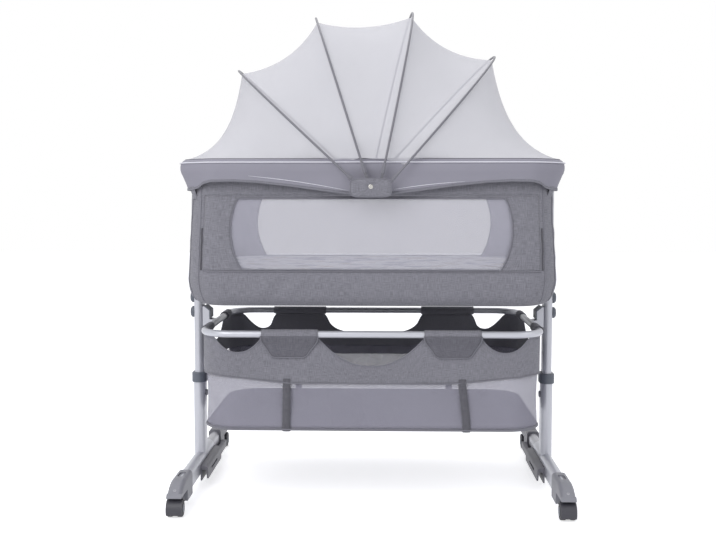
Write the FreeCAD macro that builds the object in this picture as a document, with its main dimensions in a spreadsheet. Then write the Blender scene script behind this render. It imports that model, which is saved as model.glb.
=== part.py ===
import FreeCAD, Part
import math
import os
import Sketcher
from FreeCAD import Placement, Rotation, Vector

# Bedside sleeper crib on two height-adjustable caster legs, with a folding net canopy.
# Millimetres. +X to the right, +Y away from the viewer, +Z up.
# The origin lies on the floor, midway between the legs and midway between the casters.

doc = FreeCAD.newDocument("BedsideSleeperCrib")
sheet = doc.addObject("Spreadsheet::Sheet", "Sizes")

# A number is a size that can be set by itself. A formula seats one size on others.
SIZES = [
    ("running", 0.3, "gap beside sliding pieces"),
    ("tube_wall", 1.5, "wall of the tubes"),
    ("cloth", 2.5, "thickness of the padded cloth"),
    ("net_thickness", 0.8, "thickness of the netting"),
    ("mesh", 1, "thickness of the window mesh"),
    ("body_length", 416, "half length of the fabric tub"),
    ("body_depth", 267, "half depth of the fabric tub"),
    ("body_radius", 92, "corner radius of the fabric tub"),
    ("body_height", 301, "height of the fabric tub"),
    ("rim_height", 772, "height of the rim line"),
    ("rim_tube", 16, "diameter of the rim tube"),
    ("rim_sleeve", 26, "diameter of the padded sleeve on the rim"),
    ("rim_out_ends", 9, "rim line outside the ends of the tub"),
    ("rim_out_sides", 3, "rim line outside the sides of the tub"),
    ("rim_length", "body_length + rim_out_ends", "half length of the rim line"),
    ("rim_depth", "body_depth + rim_out_sides", "half depth of the rim line"),
    ("rim_radius", "body_radius + rim_out_sides", "corner radius of the rim line"),
    ("flap_drop", 37, "rim line to the lower edge of the rim cover"),
    ("flap_rise", 6, "rim line to the upper edge of the rim cover"),
    ("flap_bottom", "rim_height - flap_drop", "lower edge of the rim cover"),
    ("flap_top", "rim_height + flap_rise", "upper edge of the rim cover"),
    ("body_bottom", "rim_height - 0.5 * rim_sleeve - body_height", "underside of the tub"),
    ("panel_corner", 44, "end of the tub to the fold-down side"),
    ("panel_half", "body_length - panel_corner", "half width of the fold-down side"),
    ("fold_rise", 83, "underside of the tub to the fold line"),
    ("panel_fold", "body_bottom + fold_rise", "height of the fold line of the side"),
    ("panel_drop", 66.5, "rim line to the upper edge of the fold-down side"),
    ("panel_top", "rim_height - panel_drop", "upper edge of the fold-down side"),
    ("panel_border", 6, "cloth above the window of the fold-down side"),
    ("window_margin", 82, "edge of the fold-down side to the window"),
    ("window_half", "panel_half - window_margin", "half width of the window at its ends"),
    ("window_bow", 20, "how far the window sides bow outwards"),
    ("window_lift", 4, "fold line to the lower edge of the windows"),
    ("window_bottom", "panel_fold + window_lift", "lower edge of the windows"),
    ("window_gap", 2.5, "top of the fold-down side to the top of the back window"),
    ("window_top", "panel_top - window_gap", "upper edge of the back window"),
    ("zip_width", 8, "width of a zip"),
    ("base_rise", 26, "underside of the tub to the base frame"),
    ("base_height", "body_bottom + base_rise", "height of the base frame"),
    ("base_tube", 18, "diameter of the base frame tube"),
    ("base_in_ends", 26, "end of the tub to the base frame line"),
    ("base_in_sides", 29, "side of the tub to the base frame line"),
    ("base_length", "body_length - base_in_ends", "half length of the base frame line"),
    ("base_depth", "body_depth - base_in_sides", "half depth of the base frame line"),
    ("board_bottom", "base_height + 0.5 * base_tube + running", "underside of the board"),
    ("board_thickness", 6, "thickness of the base board"),
    ("mattress_thickness", 60.4, "thickness of the mattress"),
    ("mattress_bottom", "board_bottom + board_thickness + running", "mattress underside"),
    ("mattress_top", "mattress_bottom + mattress_thickness", "top of the mattress"),
    ("mattress_gap", 9, "space between the mattress and the tub wall"),
    ("ring_drop", 62, "underside of the tub to the storage ring"),
    ("ring_height", "body_bottom - ring_drop", "height of the storage ring"),
    ("ring_in_ends", 31, "end of the tub to the storage ring line"),
    ("ring_in_sides", 27, "side of the tub to the storage ring line"),
    ("ring_length", "body_length - ring_in_ends", "half length of the storage ring line"),
    ("ring_depth", "body_depth - ring_in_sides", "half depth of the storage ring line"),
    ("ring_radius", 70, "corner radius of the storage ring line"),
    ("ring_tube", 16, "diameter of the storage ring tube"),
    ("loop_wall", 2.2, "wall of the cloth loops on the ring"),
    ("loop_tube", "ring_tube + 2 * running + 2 * loop_wall", "diameter of the cloth loops"),
    ("skirt_height", 106, "storage ring to the lower edge of the skirt"),
    ("skirt_bottom", "ring_height - skirt_height", "lower edge of the storage skirt"),
    ("front_tab_end", 139, "end of the ring to the front skirt tabs"),
    ("front_tab_width", 127, "width of the front skirt tabs"),
    ("front_tab_out", "ring_length - front_tab_end", "outer edge of the front skirt tabs"),
    ("front_tab_in", "front_tab_out - front_tab_width", "inner edge of the front skirt tabs"),
    ("back_tab_end", 115, "end of the ring to the back skirt tabs"),
    ("back_tab_width", 141, "width of the back skirt tabs"),
    ("back_tab_out", "ring_length - back_tab_end", "outer edge of the back skirt tabs"),
    ("back_tab_in", "back_tab_out - back_tab_width", "inner edge of the back skirt tabs"),
    ("side_tab_end", 75, "side of the ring to the side skirt tabs"),
    ("side_tab_width", 65, "width of the side skirt tabs"),
    ("side_tab_out", "ring_depth - side_tab_end", "outer edge of the side skirt tabs"),
    ("side_tab_in", "side_tab_out - side_tab_width", "inner edge of the side skirt tabs"),
    ("tab_drop", 52, "how far the front tabs hang below the ring"),
    ("basket_drop", 114, "skirt to the underside of the basket floor"),
    ("basket_floor", 6, "thickness of the basket floor"),
    ("basket_floor_base", "skirt_bottom - basket_drop", "underside of the basket floor"),
    ("basket_floor_top", "basket_floor_base + basket_floor", "top of the basket floor"),
    ("strap_end", 192, "end of the ring to the middle of a basket strap"),
    ("strap_x", "ring_length - strap_end", "middle of each basket strap"),
    ("strap_width", 18, "width of each basket strap"),
    ("strap_thickness", 1.6, "thickness of each basket strap"),
    ("post_gap", 3, "tub to the sliding posts"),
    ("inner_post_width", 22, "sliding post, across"),
    ("inner_post_depth", 44, "sliding post, front to back"),
    ("post_x", "body_length + post_gap + 0.5 * inner_post_width", "middle line of each leg"),
    ("inner_post_bottom", 128, "lower end of the sliding post"),
    ("post_drop", 15, "rim line to the upper end of the sliding post"),
    ("post_top", "rim_height - post_drop", "upper end of the sliding post"),
    ("post_play", 1.5, "room between the sliding post and the leg tube"),
    ("outer_post_width", "inner_post_width + 2 * tube_wall + 2 * post_play", "leg, across"),
    ("outer_post_depth", "inner_post_depth + 2 * tube_wall + 2 * post_play", "leg, deep"),
    ("outer_post_top", 256, "upper end of the leg tube"),
    ("foot_height", 46, "middle of the foot tube above the floor"),
    ("foot_front", 256, "front end of the foot tube from the middle"),
    ("foot_back", 105, "back end of the foot tube from the middle"),
    ("collar_wall", 4, "wall of the collar round the leg tube"),
    ("collar_drop", 10, "how far the collar reaches down over the leg tube"),
    ("collar_width", "outer_post_width + 2 * collar_wall", "collar, across"),
    ("collar_depth", "outer_post_depth + 2 * collar_wall", "collar, front to back"),
    ("collar_bottom", "outer_post_top - collar_drop", "lower face of the collar"),
    ("collar_height", 24, "height of the collar"),
    ("cap_bolt", 28, "diameter of the bolt caps"),
    ("cap_bolt_thick", 8, "thickness of the bolt caps"),
    ("upper_bolt_drop", 2, "underside of the tub to the upper bolt caps"),
    ("lower_bolt_rise", 23, "storage ring to the lower bolt caps"),
    ("upper_bolt", "body_bottom - upper_bolt_drop", "height of the upper bolt caps"),
    ("lower_bolt", "ring_height + lower_bolt_rise", "height of the lower bolt caps"),
    ("hub_drop", 47, "rim line to the canopy pivot"),
    ("hub_height", "rim_height - hub_drop", "height of the canopy pivot"),
    ("hub_width", 88, "width of the canopy hub"),
    ("hub_rise", 17, "pivot to the upper edge of the canopy hub"),
    ("hub_fall", 19, "pivot to the underside of the canopy hub"),
    ("hub_top", "hub_height + hub_rise", "upper edge of the canopy hub"),
    ("hub_bottom", "hub_height - hub_fall", "underside of the canopy hub"),
    ("hub_gap", 0.9, "rim cover to the canopy hub"),
    ("rim_face", "rim_depth + 0.5 * rim_sleeve + running + net_thickness", "rim cover face"),
    ("hub_back", "rim_face + hub_gap", "inner face of the canopy hub from the middle"),
    ("hub_depth", 25, "canopy hub, front to back"),
    ("hub_front", "hub_back + hub_depth", "outer face of the canopy hub from the middle"),
    ("hub_lip", 3.5, "how far the hub face hangs below the hub"),
    ("hub_floor", 2, "floor of the slot in the canopy hub"),
    ("slot_wall", 10, "inner wall of the slot in the canopy hub"),
    ("slot_face", 3.5, "outer wall of the slot in the canopy hub"),
    ("slot_back", "hub_back + slot_wall", "inner side of the slot in the canopy hub"),
    ("slot_front", "hub_front - slot_face", "outer side of the slot in the canopy hub"),
    ("pin", 6, "diameter of the canopy pivot pin"),
    ("rib_wire", 5, "diameter of the canopy ribs"),
    ("rib_reach", 428, "height of each rib above its pivot"),
    ("rib_gap", 2.9, "slot side to the first rib end"),
    ("rib_first", "slot_back + rib_gap", "first rib end from the middle"),
    ("rib_pitch", 1.9, "spacing of the flat rib ends in the hub"),
    ("crown_in", 29.9, "how much narrower the crown of a rib is than its feet"),
    ("rib_crown", "rib_first - crown_in", "radius of the crown of each rib"),
    ("rib_front_start", 30, "pivot to the front end of the wire"),
    ("rib_back_start", 82, "pivot to the back end of the wire"),
    ("rib_plate", 1.4, "thickness of the flat rib ends"),
    ("rib_eye", 5, "radius of the eye at the end of a rib"),
    ("rib_neck", 3.2, "half width of the flat rib ends"),
    ("net_start", 118, "pivot to the lower corners of the net"),
    ("net_ease", 7.2, "how far the net hangs below the crown of a rib"),
    ("cap_wall", 2.5, "wall of the foot caps"),
    ("cap_width", "outer_post_width + 2 * cap_wall", "width of the foot caps"),
    ("cap_grip", 56, "how far the foot caps reach over the foot tube"),
    ("cap_reach", 75, "how far the foot caps reach past the foot tube"),
    ("cap_rise", 28, "foot tube line to the top of the foot caps"),
    ("cap_fall", 27.5, "foot tube line to the underside of the foot caps"),
    ("cap_start", "foot_front - cap_grip", "inner end of the foot caps from the middle"),
    ("cap_nose", "foot_front + cap_reach", "outer end of the foot caps from the middle"),
    ("cap_top", "foot_height + cap_rise", "top of the foot caps"),
    ("cap_bottom", "foot_height - cap_fall", "underside of the foot caps"),
    ("caster_reach", 44, "front end of the foot tube to the caster pivot"),
    ("caster_y", "foot_front + caster_reach", "caster pivot from the middle"),
    ("caster_trail", 12, "wheel axle from the caster pivot"),
    ("wheel", 37, "diameter of the caster wheels"),
    ("wheel_width", 13, "width of one caster wheel"),
    ("wheel_gap", 9, "space between the two wheels"),
    ("hood_wall", 3, "wall of the wheel hood and its gap"),
    ("hood", "wheel + 2 * hood_wall", "outer diameter of the wheel hood"),
    ("nose_rise", 8, "caster wheels to the underside of the cap's nose"),
    ("nose_bottom", "wheel + nose_rise", "underside of the cap's nose"),
    ("nose_height", 8, "height of the cap's nose"),
    ("stem", 8, "diameter of the caster stem"),
    ("stem_length", 12, "length of the caster stem"),
    ("guide_in", 32, "middle of the leg to the inner face of the foot guide"),
    ("guide_rise", 5, "foot tube line to the top of the foot guide"),
    ("guide_fall", 27, "foot tube line to the bottom of the foot guide"),
    ("guide_over", 7, "how far the foot guide reaches past the foot tube"),
    ("guide_inner", "post_x - guide_in", "inner face of the foot guide from the middle"),
    ("guide_top", "foot_height + guide_rise", "top of the foot guide"),
    ("guide_bottom", "foot_height - guide_fall", "bottom of the foot guide"),
    ("guide_front", 88, "front end of the foot guide before the middle"),
    ("guide_back", "foot_back + guide_over", "back end of the foot guide"),
    ("guide_wall", 3.4, "wall of the foot guide"),
    ("button_drop", 40, "top of the leg tube to the leg button"),
    ("button_height", "outer_post_top - button_drop", "height of the leg button"),
    ("button", 16, "diameter of the leg button"),
    ("button_out", 4, "how far the leg button stands out"),
]


class Size:
    """A dimension: its sheet expression and its present value."""

    def __init__(self, text, value):
        self.text = text
        self.value = value

    def __add__(self, other):
        other = size(other)
        return Size("(%s + %s)" % (self.text, other.text), self.value + other.value)

    def __radd__(self, other):
        return size(other) + self

    def __sub__(self, other):
        other = size(other)
        return Size("(%s - %s)" % (self.text, other.text), self.value - other.value)

    def __rsub__(self, other):
        return size(other) - self

    def __mul__(self, other):
        other = size(other)
        return Size("(%s * %s)" % (self.text, other.text), self.value * other.value)

    def __rmul__(self, other):
        return size(other) * self

    def __truediv__(self, other):
        other = size(other)
        return Size("(%s / %s)" % (self.text, other.text), self.value / other.value)

    def __neg__(self):
        return size(0) - self

    def root(self):
        return Size("sqrt(%s)" % self.text, math.sqrt(self.value))


def size(item):
    if isinstance(item, Size):
        return item
    return Size("%.6f" % item, float(item))


class Dimensions:
    """One attribute for each named cell of the sheet."""


d = Dimensions()
for row, (alias, value, note) in enumerate(SIZES, start=1):
    sheet.set("A%d" % row, note)
    sheet.set("B%d" % row, "=" + value if isinstance(value, str) else str(value))
    sheet.setAlias("B%d" % row, alias)
    doc.recompute()
    setattr(d, alias, Size("Sizes.%s" % alias, float(sheet.get(alias))))

parts = []


def keep(obj, label):
    """List an object as one piece of the crib."""
    obj.Label = label
    parts.append((label, obj))
    return obj


# ---------------------------------------------------------------- sketch helpers

def new_body(name):
    return doc.addObject("PartDesign::Body", name)


def sketch(body, role, lift=0):
    """A sketch on one of the body's own origin planes, lifted along its normal."""
    plane = next(f for f in body.Origin.OriginFeatures if f.Role == role)
    sk = body.newObject("Sketcher::SketchObject", body.Name + "_sketch")
    sk.AttachmentSupport = [(plane, "")]
    sk.MapMode = "FlatFace"
    lift = size(lift)
    sk.AttachmentOffset = Placement(Vector(0, 0, lift.value), Rotation())
    sk.setExpression("AttachmentOffset.Base.z", lift.text)
    return sk


def pin_point(sk, geometry, end, x, y):
    """Hold one end of a sketch element at the given place."""
    for kind, axis, place in (("DistanceX", -2, size(x)), ("DistanceY", -1, size(y))):
        if abs(place.value) < 1e-9:
            sk.addConstraint(Sketcher.Constraint("PointOnObject", geometry, end, axis))
        else:
            index = sk.addConstraint(
                Sketcher.Constraint(kind, -1, 1, geometry, end, place.value))
            sk.setExpression("Constraints[%d]" % index, place.text)


def loop(sk, points, closed=True):
    """A chain of lines and arcs.

    Each point is (x, y) for a line to the next point, or (x, y, radius) for an arc to
    the next point: a positive radius bows to the right of the way, a negative to the left.
    """
    ends = []
    count = len(points) if closed else len(points) - 1
    for i in range(count):
        here = points[i]
        there = points[(i + 1) % len(points)]
        a = Vector(size(here[0]).value, size(here[1]).value, 0)
        b = Vector(size(there[0]).value, size(there[1]).value, 0)
        if len(here) < 3:
            geometry = sk.addGeometry(Part.LineSegment(a, b), False)
            ends.append((geometry, 1, 2))
            continue
        radius = size(here[2])
        chord = b - a
        half = chord.Length / 2
        side = Vector(chord.y, -chord.x, 0).normalize()
        rise = abs(radius.value) - math.sqrt(max(radius.value ** 2 - half ** 2, 0))
        bow = rise if radius.value > 0 else -rise
        geometry = sk.addGeometry(Part.Arc(a, (a + b) / 2 + side * bow, b), False)
        start = sk.getPoint(geometry, 1)
        first = 1 if (start - a).Length < (start - b).Length else 2
        ends.append((geometry, first, 3 - first))
        whole = radius if radius.value > 0 else -radius
        index = sk.addConstraint(
            Sketcher.Constraint("Radius", geometry, abs(radius.value)))
        sk.setExpression("Constraints[%d]" % index, whole.text)
    for i in range(count):
        pin_point(sk, ends[i][0], ends[i][1], points[i][0], points[i][1])
        if closed or i + 1 < count:
            after = ends[(i + 1) % count]
            sk.addConstraint(Sketcher.Constraint(
                "Coincident", ends[i][0], ends[i][2], after[0], after[1]))
        else:
            pin_point(sk, ends[i][0], ends[i][2], points[i + 1][0], points[i + 1][1])


def rounded(sk, half_x, half_y, radius, mid_x=0, mid_y=0):
    """A rectangle with round corners."""
    mid_x = size(mid_x)
    mid_y = size(mid_y)
    left, right = mid_x - half_x, mid_x + half_x
    low, high = mid_y - half_y, mid_y + half_y
    loop(sk, [
        (left + radius, low), (right - radius, low, radius),
        (right, low + radius), (right, high - radius, radius),
        (right - radius, high), (left + radius, high, radius),
        (left, high - radius), (left, low + radius, radius),
    ])


def box(sk, x_low, x_high, y_low, y_high):
    loop(sk, [(x_low, y_low), (x_high, y_low), (x_high, y_high), (x_low, y_high)])


def stadium(sk, half_x, half_y, mid_x=0, mid_y=0):
    """A flat oval: straight long sides and half-round ends."""
    mid_x = size(mid_x)
    mid_y = size(mid_y)
    half_x = size(half_x)
    half_y = size(half_y)
    if half_y.value > half_x.value:
        straight = half_y - half_x
        bend = half_x * 1.00001
        loop(sk, [
            (mid_x + half_x, mid_y - straight), (mid_x + half_x, mid_y + straight, bend),
            (mid_x - half_x, mid_y + straight), (mid_x - half_x, mid_y - straight, bend),
        ])
    else:
        straight = half_x - half_y
        bend = half_y * 1.00001
        loop(sk, [
            (mid_x - straight, mid_y - half_y), (mid_x + straight, mid_y - half_y, bend),
            (mid_x + straight, mid_y + half_y), (mid_x - straight, mid_y + half_y, bend),
        ])


def disc(sk, radius, mid_x=0, mid_y=0):
    radius = size(radius)
    mid_x = size(mid_x)
    mid_y = size(mid_y)
    centre = Vector(mid_x.value, mid_y.value, 0)
    geometry = sk.addGeometry(Part.Circle(centre, Vector(0, 0, 1), radius.value), False)
    pin_point(sk, geometry, 3, mid_x, mid_y)
    index = sk.addConstraint(Sketcher.Constraint("Radius", geometry, radius.value))
    sk.setExpression("Constraints[%d]" % index, radius.text)


# ---------------------------------------------------------------- feature helpers

def pad(body, sk, length, back=False):
    """Raise a sketch along its plane's normal, or against it."""
    length = size(length)
    feature = body.newObject("PartDesign::Pad", body.Name + "_pad")
    feature.Profile = sk
    feature.Length = length.value
    feature.setExpression("Length", length.text)
    feature.Reversed = back
    sk.Visibility = False
    doc.recompute()
    return feature


def pocket(body, sk, length, back=False):
    """Cut a sketch along its plane's normal, or against it, and see that it did."""
    length = size(length)
    before = body.Shape.Volume
    feature = body.newObject("PartDesign::Pocket", body.Name + "_pocket")
    feature.Profile = sk
    feature.Length = length.value
    feature.setExpression("Length", length.text)
    feature.Reversed = not back
    doc.recompute()
    if not body.Shape.Volume < before - 1e-6:
        raise RuntimeError("a pocket cut nothing in " + body.Name)
    return feature


def pipe(body, kind, profile, path):
    """Sweep a profile sketch along a path sketch, to add or to take away."""
    feature = body.newObject(kind, body.Name + "_pipe")
    doc.recompute()
    feature.Profile = profile
    edges = ["Edge%d" % (i + 1) for i in range(len(path.Shape.Edges))]
    feature.Spine = (path, edges)
    doc.recompute()
    return feature


def round_edges(body, base, chosen, radius):
    """Round the edges of a feature that the test picks."""
    radius = size(radius)
    doc.recompute()
    names = ["Edge%d" % (i + 1) for i, edge in enumerate(base.Shape.Edges) if chosen(edge)]
    feature = body.newObject("PartDesign::Fillet", body.Name + "_fillet")
    feature.Base = (base, names)
    feature.Radius = radius.value
    feature.setExpression("Radius", radius.text)
    doc.recompute()
    return feature


def place(obj, x=0, y=0, z=0, turn=0):
    """Give an object its place, with a turn about the upright axis."""
    x, y, z = size(x), size(y), size(z)
    obj.Placement = Placement(Vector(x.value, y.value, z.value),
                              Rotation(Vector(0, 0, 1), turn))
    obj.setExpression("Placement.Base.x", x.text)
    obj.setExpression("Placement.Base.y", y.text)
    obj.setExpression("Placement.Base.z", z.text)
    return obj


def mirrored(source, normal=Vector(1, 0, 0)):
    """The same piece on the other side."""
    twin = doc.addObject("Part::Mirroring", source.Name + "_twin")
    twin.Source = source
    twin.Normal = normal
    twin.Base = Vector(0, 0, 0)
    return twin


def both(source, label, normal=Vector(1, 0, 0)):
    """A right-hand and a left-hand copy held as one piece name."""
    group = doc.addObject("Part::Compound", label)
    group.Links = [source, mirrored(source, normal)]
    return keep(group, label)


def left_and_right(source, label):
    keep(source, label + "_right")
    keep(mirrored(source), label + "_left")


def feature(label, shape):
    """A piece whose shape is made directly from the sheet's sizes."""
    obj = doc.addObject("Part::Feature", label)
    obj.Shape = shape
    obj.Placement = Placement()
    return keep(obj, label)


def ring_tube(label, half_x, half_y, radius, height, outer, inner):
    """A closed round tube along a rounded rectangle."""
    body = new_body(label)
    path = sketch(body, "XY_Plane", height)
    rounded(path, half_x, half_y, radius)
    profile = sketch(body, "YZ_Plane")
    disc(profile, outer / 2, -half_y, height)
    pipe(body, "PartDesign::AdditivePipe", profile, path)
    if inner is not None:
        bore = sketch(body, "YZ_Plane")
        disc(bore, inner / 2, -half_y, height)
        pipe(body, "PartDesign::SubtractivePipe", bore, path)
    return body


def tub_wall(name, half_x, half_y, radius, thickness, low, high):
    """An upright wall along a rounded rectangle."""
    body = new_body(name)
    plan = sketch(body, "XY_Plane", low)
    rounded(plan, half_x, half_y, radius)
    rounded(plan, half_x - thickness, half_y - thickness, radius - thickness)
    pad(body, plan, high - low)
    return body


def flat_panel(name, half_x, half_y, radius, low, high):
    body = new_body(name)
    plan = sketch(body, "XY_Plane", low)
    rounded(plan, half_x, half_y, radius)
    pad(body, plan, high - low)
    return body


def cut_box(body, x_low, x_high, z_low, z_high, y_from, y_to):
    """Cut a block out, given by its front view and its depth."""
    front = sketch(body, "XZ_Plane", -size(y_from))
    box(front, x_low, x_high, z_low, z_high)
    pocket(body, front, size(y_to) - size(y_from), back=True)


far = size(1000)

# ---------------------------------------------------------------- rim

rim_tube = ring_tube("rim_tube", d.rim_length, d.rim_depth, d.rim_radius, d.rim_height,
                     d.rim_tube, d.rim_tube - 2 * d.tube_wall)
keep(rim_tube, "rim_tube")
rim_sleeve = ring_tube("rim_sleeve", d.rim_length, d.rim_depth, d.rim_radius,
                         d.rim_height, d.rim_sleeve, d.rim_tube + 4 * d.running)
bracket_half = 0.5 * d.inner_post_width + 1
for side in (1, -1):
    middle = d.post_x * side
    cut_box(rim_sleeve, middle - bracket_half - 3, middle + bracket_half + 3,
            d.rim_height - 0.5 * d.rim_sleeve - 1, d.rim_height - 2,
            -0.5 * d.inner_post_depth - 1, 0.5 * d.inner_post_depth + 1)
keep(rim_sleeve, "rim_sleeve")

flap_offset = 0.5 * d.rim_sleeve + d.running + d.net_thickness
flap_half = d.post_x + bracket_half + d.running + d.net_thickness
net_flap = tub_wall("net_flap", flap_half, d.rim_depth + flap_offset,
                    d.rim_radius + flap_offset, d.net_thickness, d.flap_bottom, d.flap_top)
keep(net_flap, "net_flap")

# ---------------------------------------------------------------- fabric tub

body_top = d.rim_height - 0.5 * d.rim_sleeve


def window(sk, top, inset=0):
    """The bowed window outline in front view."""
    half = d.window_half - inset
    bottom = d.window_bottom + inset
    top = top - inset
    rise = 0.5 * (top - bottom)
    radius = (rise * rise + d.window_bow * d.window_bow) / (2 * d.window_bow)
    loop(sk, [(-half, bottom), (half, bottom, radius), (half, top), (-half, top, radius)])


body_fabric = new_body("body_fabric")
plan = sketch(body_fabric, "XY_Plane", d.body_bottom)
rounded(plan, d.body_length, d.body_depth, d.body_radius)
tub = pad(body_fabric, plan, body_top - d.body_bottom)
lower_edge = d.body_bottom.value
round_edges(body_fabric, tub,
            lambda e: abs(e.BoundBox.ZMax - lower_edge) < 0.01, 20)
plan = sketch(body_fabric, "XY_Plane", d.body_bottom + 16)
rounded(plan, d.body_length - d.cloth, d.body_depth - d.cloth, d.body_radius - d.cloth)
pocket(body_fabric, plan, body_top - d.body_bottom)
plan = sketch(body_fabric, "XY_Plane", d.body_bottom + d.cloth)
rounded(plan, d.body_length - 14, d.body_depth - 14, d.body_radius - 14)
pocket(body_fabric, plan, 16)
opening = sketch(body_fabric, "XZ_Plane", d.body_depth + 1)
box(opening, -d.panel_half - d.running, d.panel_half + d.running,
    d.panel_fold, d.panel_top + 3 * d.running)
pocket(body_fabric, opening, 0.5 * d.body_depth, back=True)
opening = sketch(body_fabric, "XZ_Plane", -d.body_depth - 1)
window(opening, d.window_top)
pocket(body_fabric, opening, 0.5 * d.body_depth)
slot = sketch(body_fabric, "YZ_Plane", -d.body_length - 1)
box(slot, -0.5 * d.inner_post_depth, 0.5 * d.inner_post_depth,
    d.base_height - 9.5, d.base_height + 9.5)
pocket(body_fabric, slot, 2 * d.body_length + 2)
keep(body_fabric, "body_fabric")

side_panel = tub_wall("side_panel", d.body_length, d.body_depth, d.body_radius, d.cloth,
                      d.panel_fold + d.running, d.panel_top)
plan = sketch(side_panel, "XY_Plane", d.body_bottom)
box(plan, -far, far, -0.7 * d.body_depth, far)
pocket(side_panel, plan, body_top)
for side in (1, -1):
    plan = sketch(side_panel, "XY_Plane", d.body_bottom)
    box(plan, side * d.panel_half, side * far, -far, -0.5 * d.body_depth)
    pocket(side_panel, plan, body_top)
opening = sketch(side_panel, "XZ_Plane", d.body_depth + 1)
front_window_top = d.panel_top - d.panel_border
window(opening, front_window_top)
pocket(side_panel, opening, 0.3 * d.body_depth, back=True)
keep(side_panel, "side_panel")

for label, front, top in (("window_mesh_front", True, front_window_top),
                          ("window_mesh_back", False, d.window_top)):
    mesh = new_body(label)
    sheet_face = d.body_depth - 0.5 * d.cloth + 0.5 * d.mesh
    front_view = sketch(mesh, "XZ_Plane", sheet_face if front else -sheet_face)
    window(front_view, top, 0.1)
    pad(mesh, front_view, d.mesh, back=front)
    keep(mesh, label)

# a zip down each side of the fold-down panel, on the tub's side of the parting line
zip_strip = tub_wall("zip", d.body_length + 1.8, d.body_depth + 1.8,
                     d.body_radius + 1.8, 1.5, d.panel_fold, d.panel_top)
plan = sketch(zip_strip, "XY_Plane", d.body_bottom)
box(plan, -far, d.panel_half + 0.5, -far, far)
pocket(zip_strip, plan, body_top)
plan = sketch(zip_strip, "XY_Plane", d.body_bottom)
box(plan, d.panel_half + 0.4, far, -0.7 * d.body_depth, far)
pocket(zip_strip, plan, body_top)
plan = sketch(zip_strip, "XY_Plane", d.body_bottom)
box(plan, d.panel_half + 0.5 + d.zip_width, far, -far, -0.6 * d.body_depth)
pocket(zip_strip, plan, body_top)
both(zip_strip, "panel_zips")

# ---------------------------------------------------------------- base and mattress

base_frame = ring_tube("base_frame", d.base_length, d.base_depth, 70, d.base_height,
                       d.base_tube, d.base_tube - 2 * d.tube_wall)
for side in (1, -1):
    ends = sketch(base_frame, "YZ_Plane", side * (d.base_length + 5))
    box(ends, -0.4 * d.inner_post_depth, 0.4 * d.inner_post_depth,
        d.base_height - 8, d.base_height + 8)
    reach = d.post_x - 0.5 * d.inner_post_width - d.base_length - 5.2
    pad(base_frame, ends, reach, back=side < 0)
    bar = sketch(base_frame, "XZ_Plane", -d.base_depth + 4)
    disc(bar, 0.5 * d.base_tube, side * 0.5 * d.base_length, d.base_height)
    pad(base_frame, bar, 2 * d.base_depth - 8)
keep(base_frame, "base_frame")

inner_x = d.body_length - d.cloth
inner_y = d.body_depth - d.cloth
inner_r = d.body_radius - d.cloth
base_board = flat_panel("base_board", inner_x - 5, inner_y - 5, inner_r - 5,
                        d.board_bottom, d.board_bottom + d.board_thickness)
keep(base_board, "base_board")

mattress = new_body("mattress")
plan = sketch(mattress, "XY_Plane", d.mattress_bottom)
gap = d.mattress_gap
rounded(plan, inner_x - gap, inner_y - gap, inner_r - gap)
block = pad(mattress, plan, d.mattress_thickness)
round_edges(mattress, block, lambda e: abs(e.BoundBox.ZLength) < 0.01, 14)
keep(mattress, "mattress")

# ---------------------------------------------------------------- posts

post = new_body("post_right")
plan = sketch(post, "XY_Plane", d.inner_post_bottom)
stadium(plan, 0.5 * d.inner_post_width, 0.5 * d.inner_post_depth, d.post_x)
stadium(plan, 0.5 * d.inner_post_width - d.tube_wall,
        0.5 * d.inner_post_depth - d.tube_wall, d.post_x)
pad(post, plan, d.post_top - d.inner_post_bottom)
saddle = sketch(post, "XY_Plane", d.post_top - 18)
rounded(saddle, bracket_half, 0.5 * d.inner_post_depth, 6, d.post_x)
pad(post, saddle, d.rim_height - 0.5 * d.rim_tube - d.post_top + 17.9)
left_and_right(post, "post")

cap = new_body("bolt_cap")
face = d.post_x + 0.5 * d.inner_post_width + 0.2
side_view = sketch(cap, "YZ_Plane", face)
disc(side_view, 0.5 * d.cap_bolt, 0, 0)
button_pad = pad(cap, side_view, d.cap_bolt_thick)
cap_face = face.value + d.cap_bolt_thick.value
round_edges(cap, button_pad, lambda e: e.BoundBox.XMin > cap_face - 0.01, 4)
caps = doc.addObject("Part::Compound", "bolt_caps")
copies = []
for height in (d.upper_bolt, d.lower_bolt):
    raised = doc.addObject("Part::Compound", "bolt_cap_raised")
    raised.Links = [cap]
    place(raised, z=height)
    copies += [raised, mirrored(raised)]
caps.Links = copies
keep(caps, "bolt_caps")

# ---------------------------------------------------------------- storage ring and skirt

shelf_ring = ring_tube("shelf_ring", d.ring_length, d.ring_depth, d.ring_radius,
                       d.ring_height, d.ring_tube, d.ring_tube - 2 * d.tube_wall)
keep_out = d.post_x - 0.5 * d.inner_post_width - 0.2
for side in (1, -1):
    arm = sketch(shelf_ring, "XZ_Plane", -0.45 * d.inner_post_depth)
    loop(arm, [
        (side * keep_out, d.ring_height - 10), (side * keep_out, d.ring_height + 38),
        (side * (keep_out - 3.5), d.ring_height + 38),
        (side * (keep_out - 16.5), d.ring_height + 27.5),
        (side * (keep_out - 16.5), d.ring_height + 6),
        (side * (d.ring_length + 4), d.ring_height + 4.5),
        (side * (d.ring_length + 4), d.ring_height - 4.5),
        (side * (keep_out - 16.5), d.ring_height - 10),
    ])
    pad(shelf_ring, arm, 0.9 * d.inner_post_depth)
keep(shelf_ring, "shelf_ring")

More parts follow.
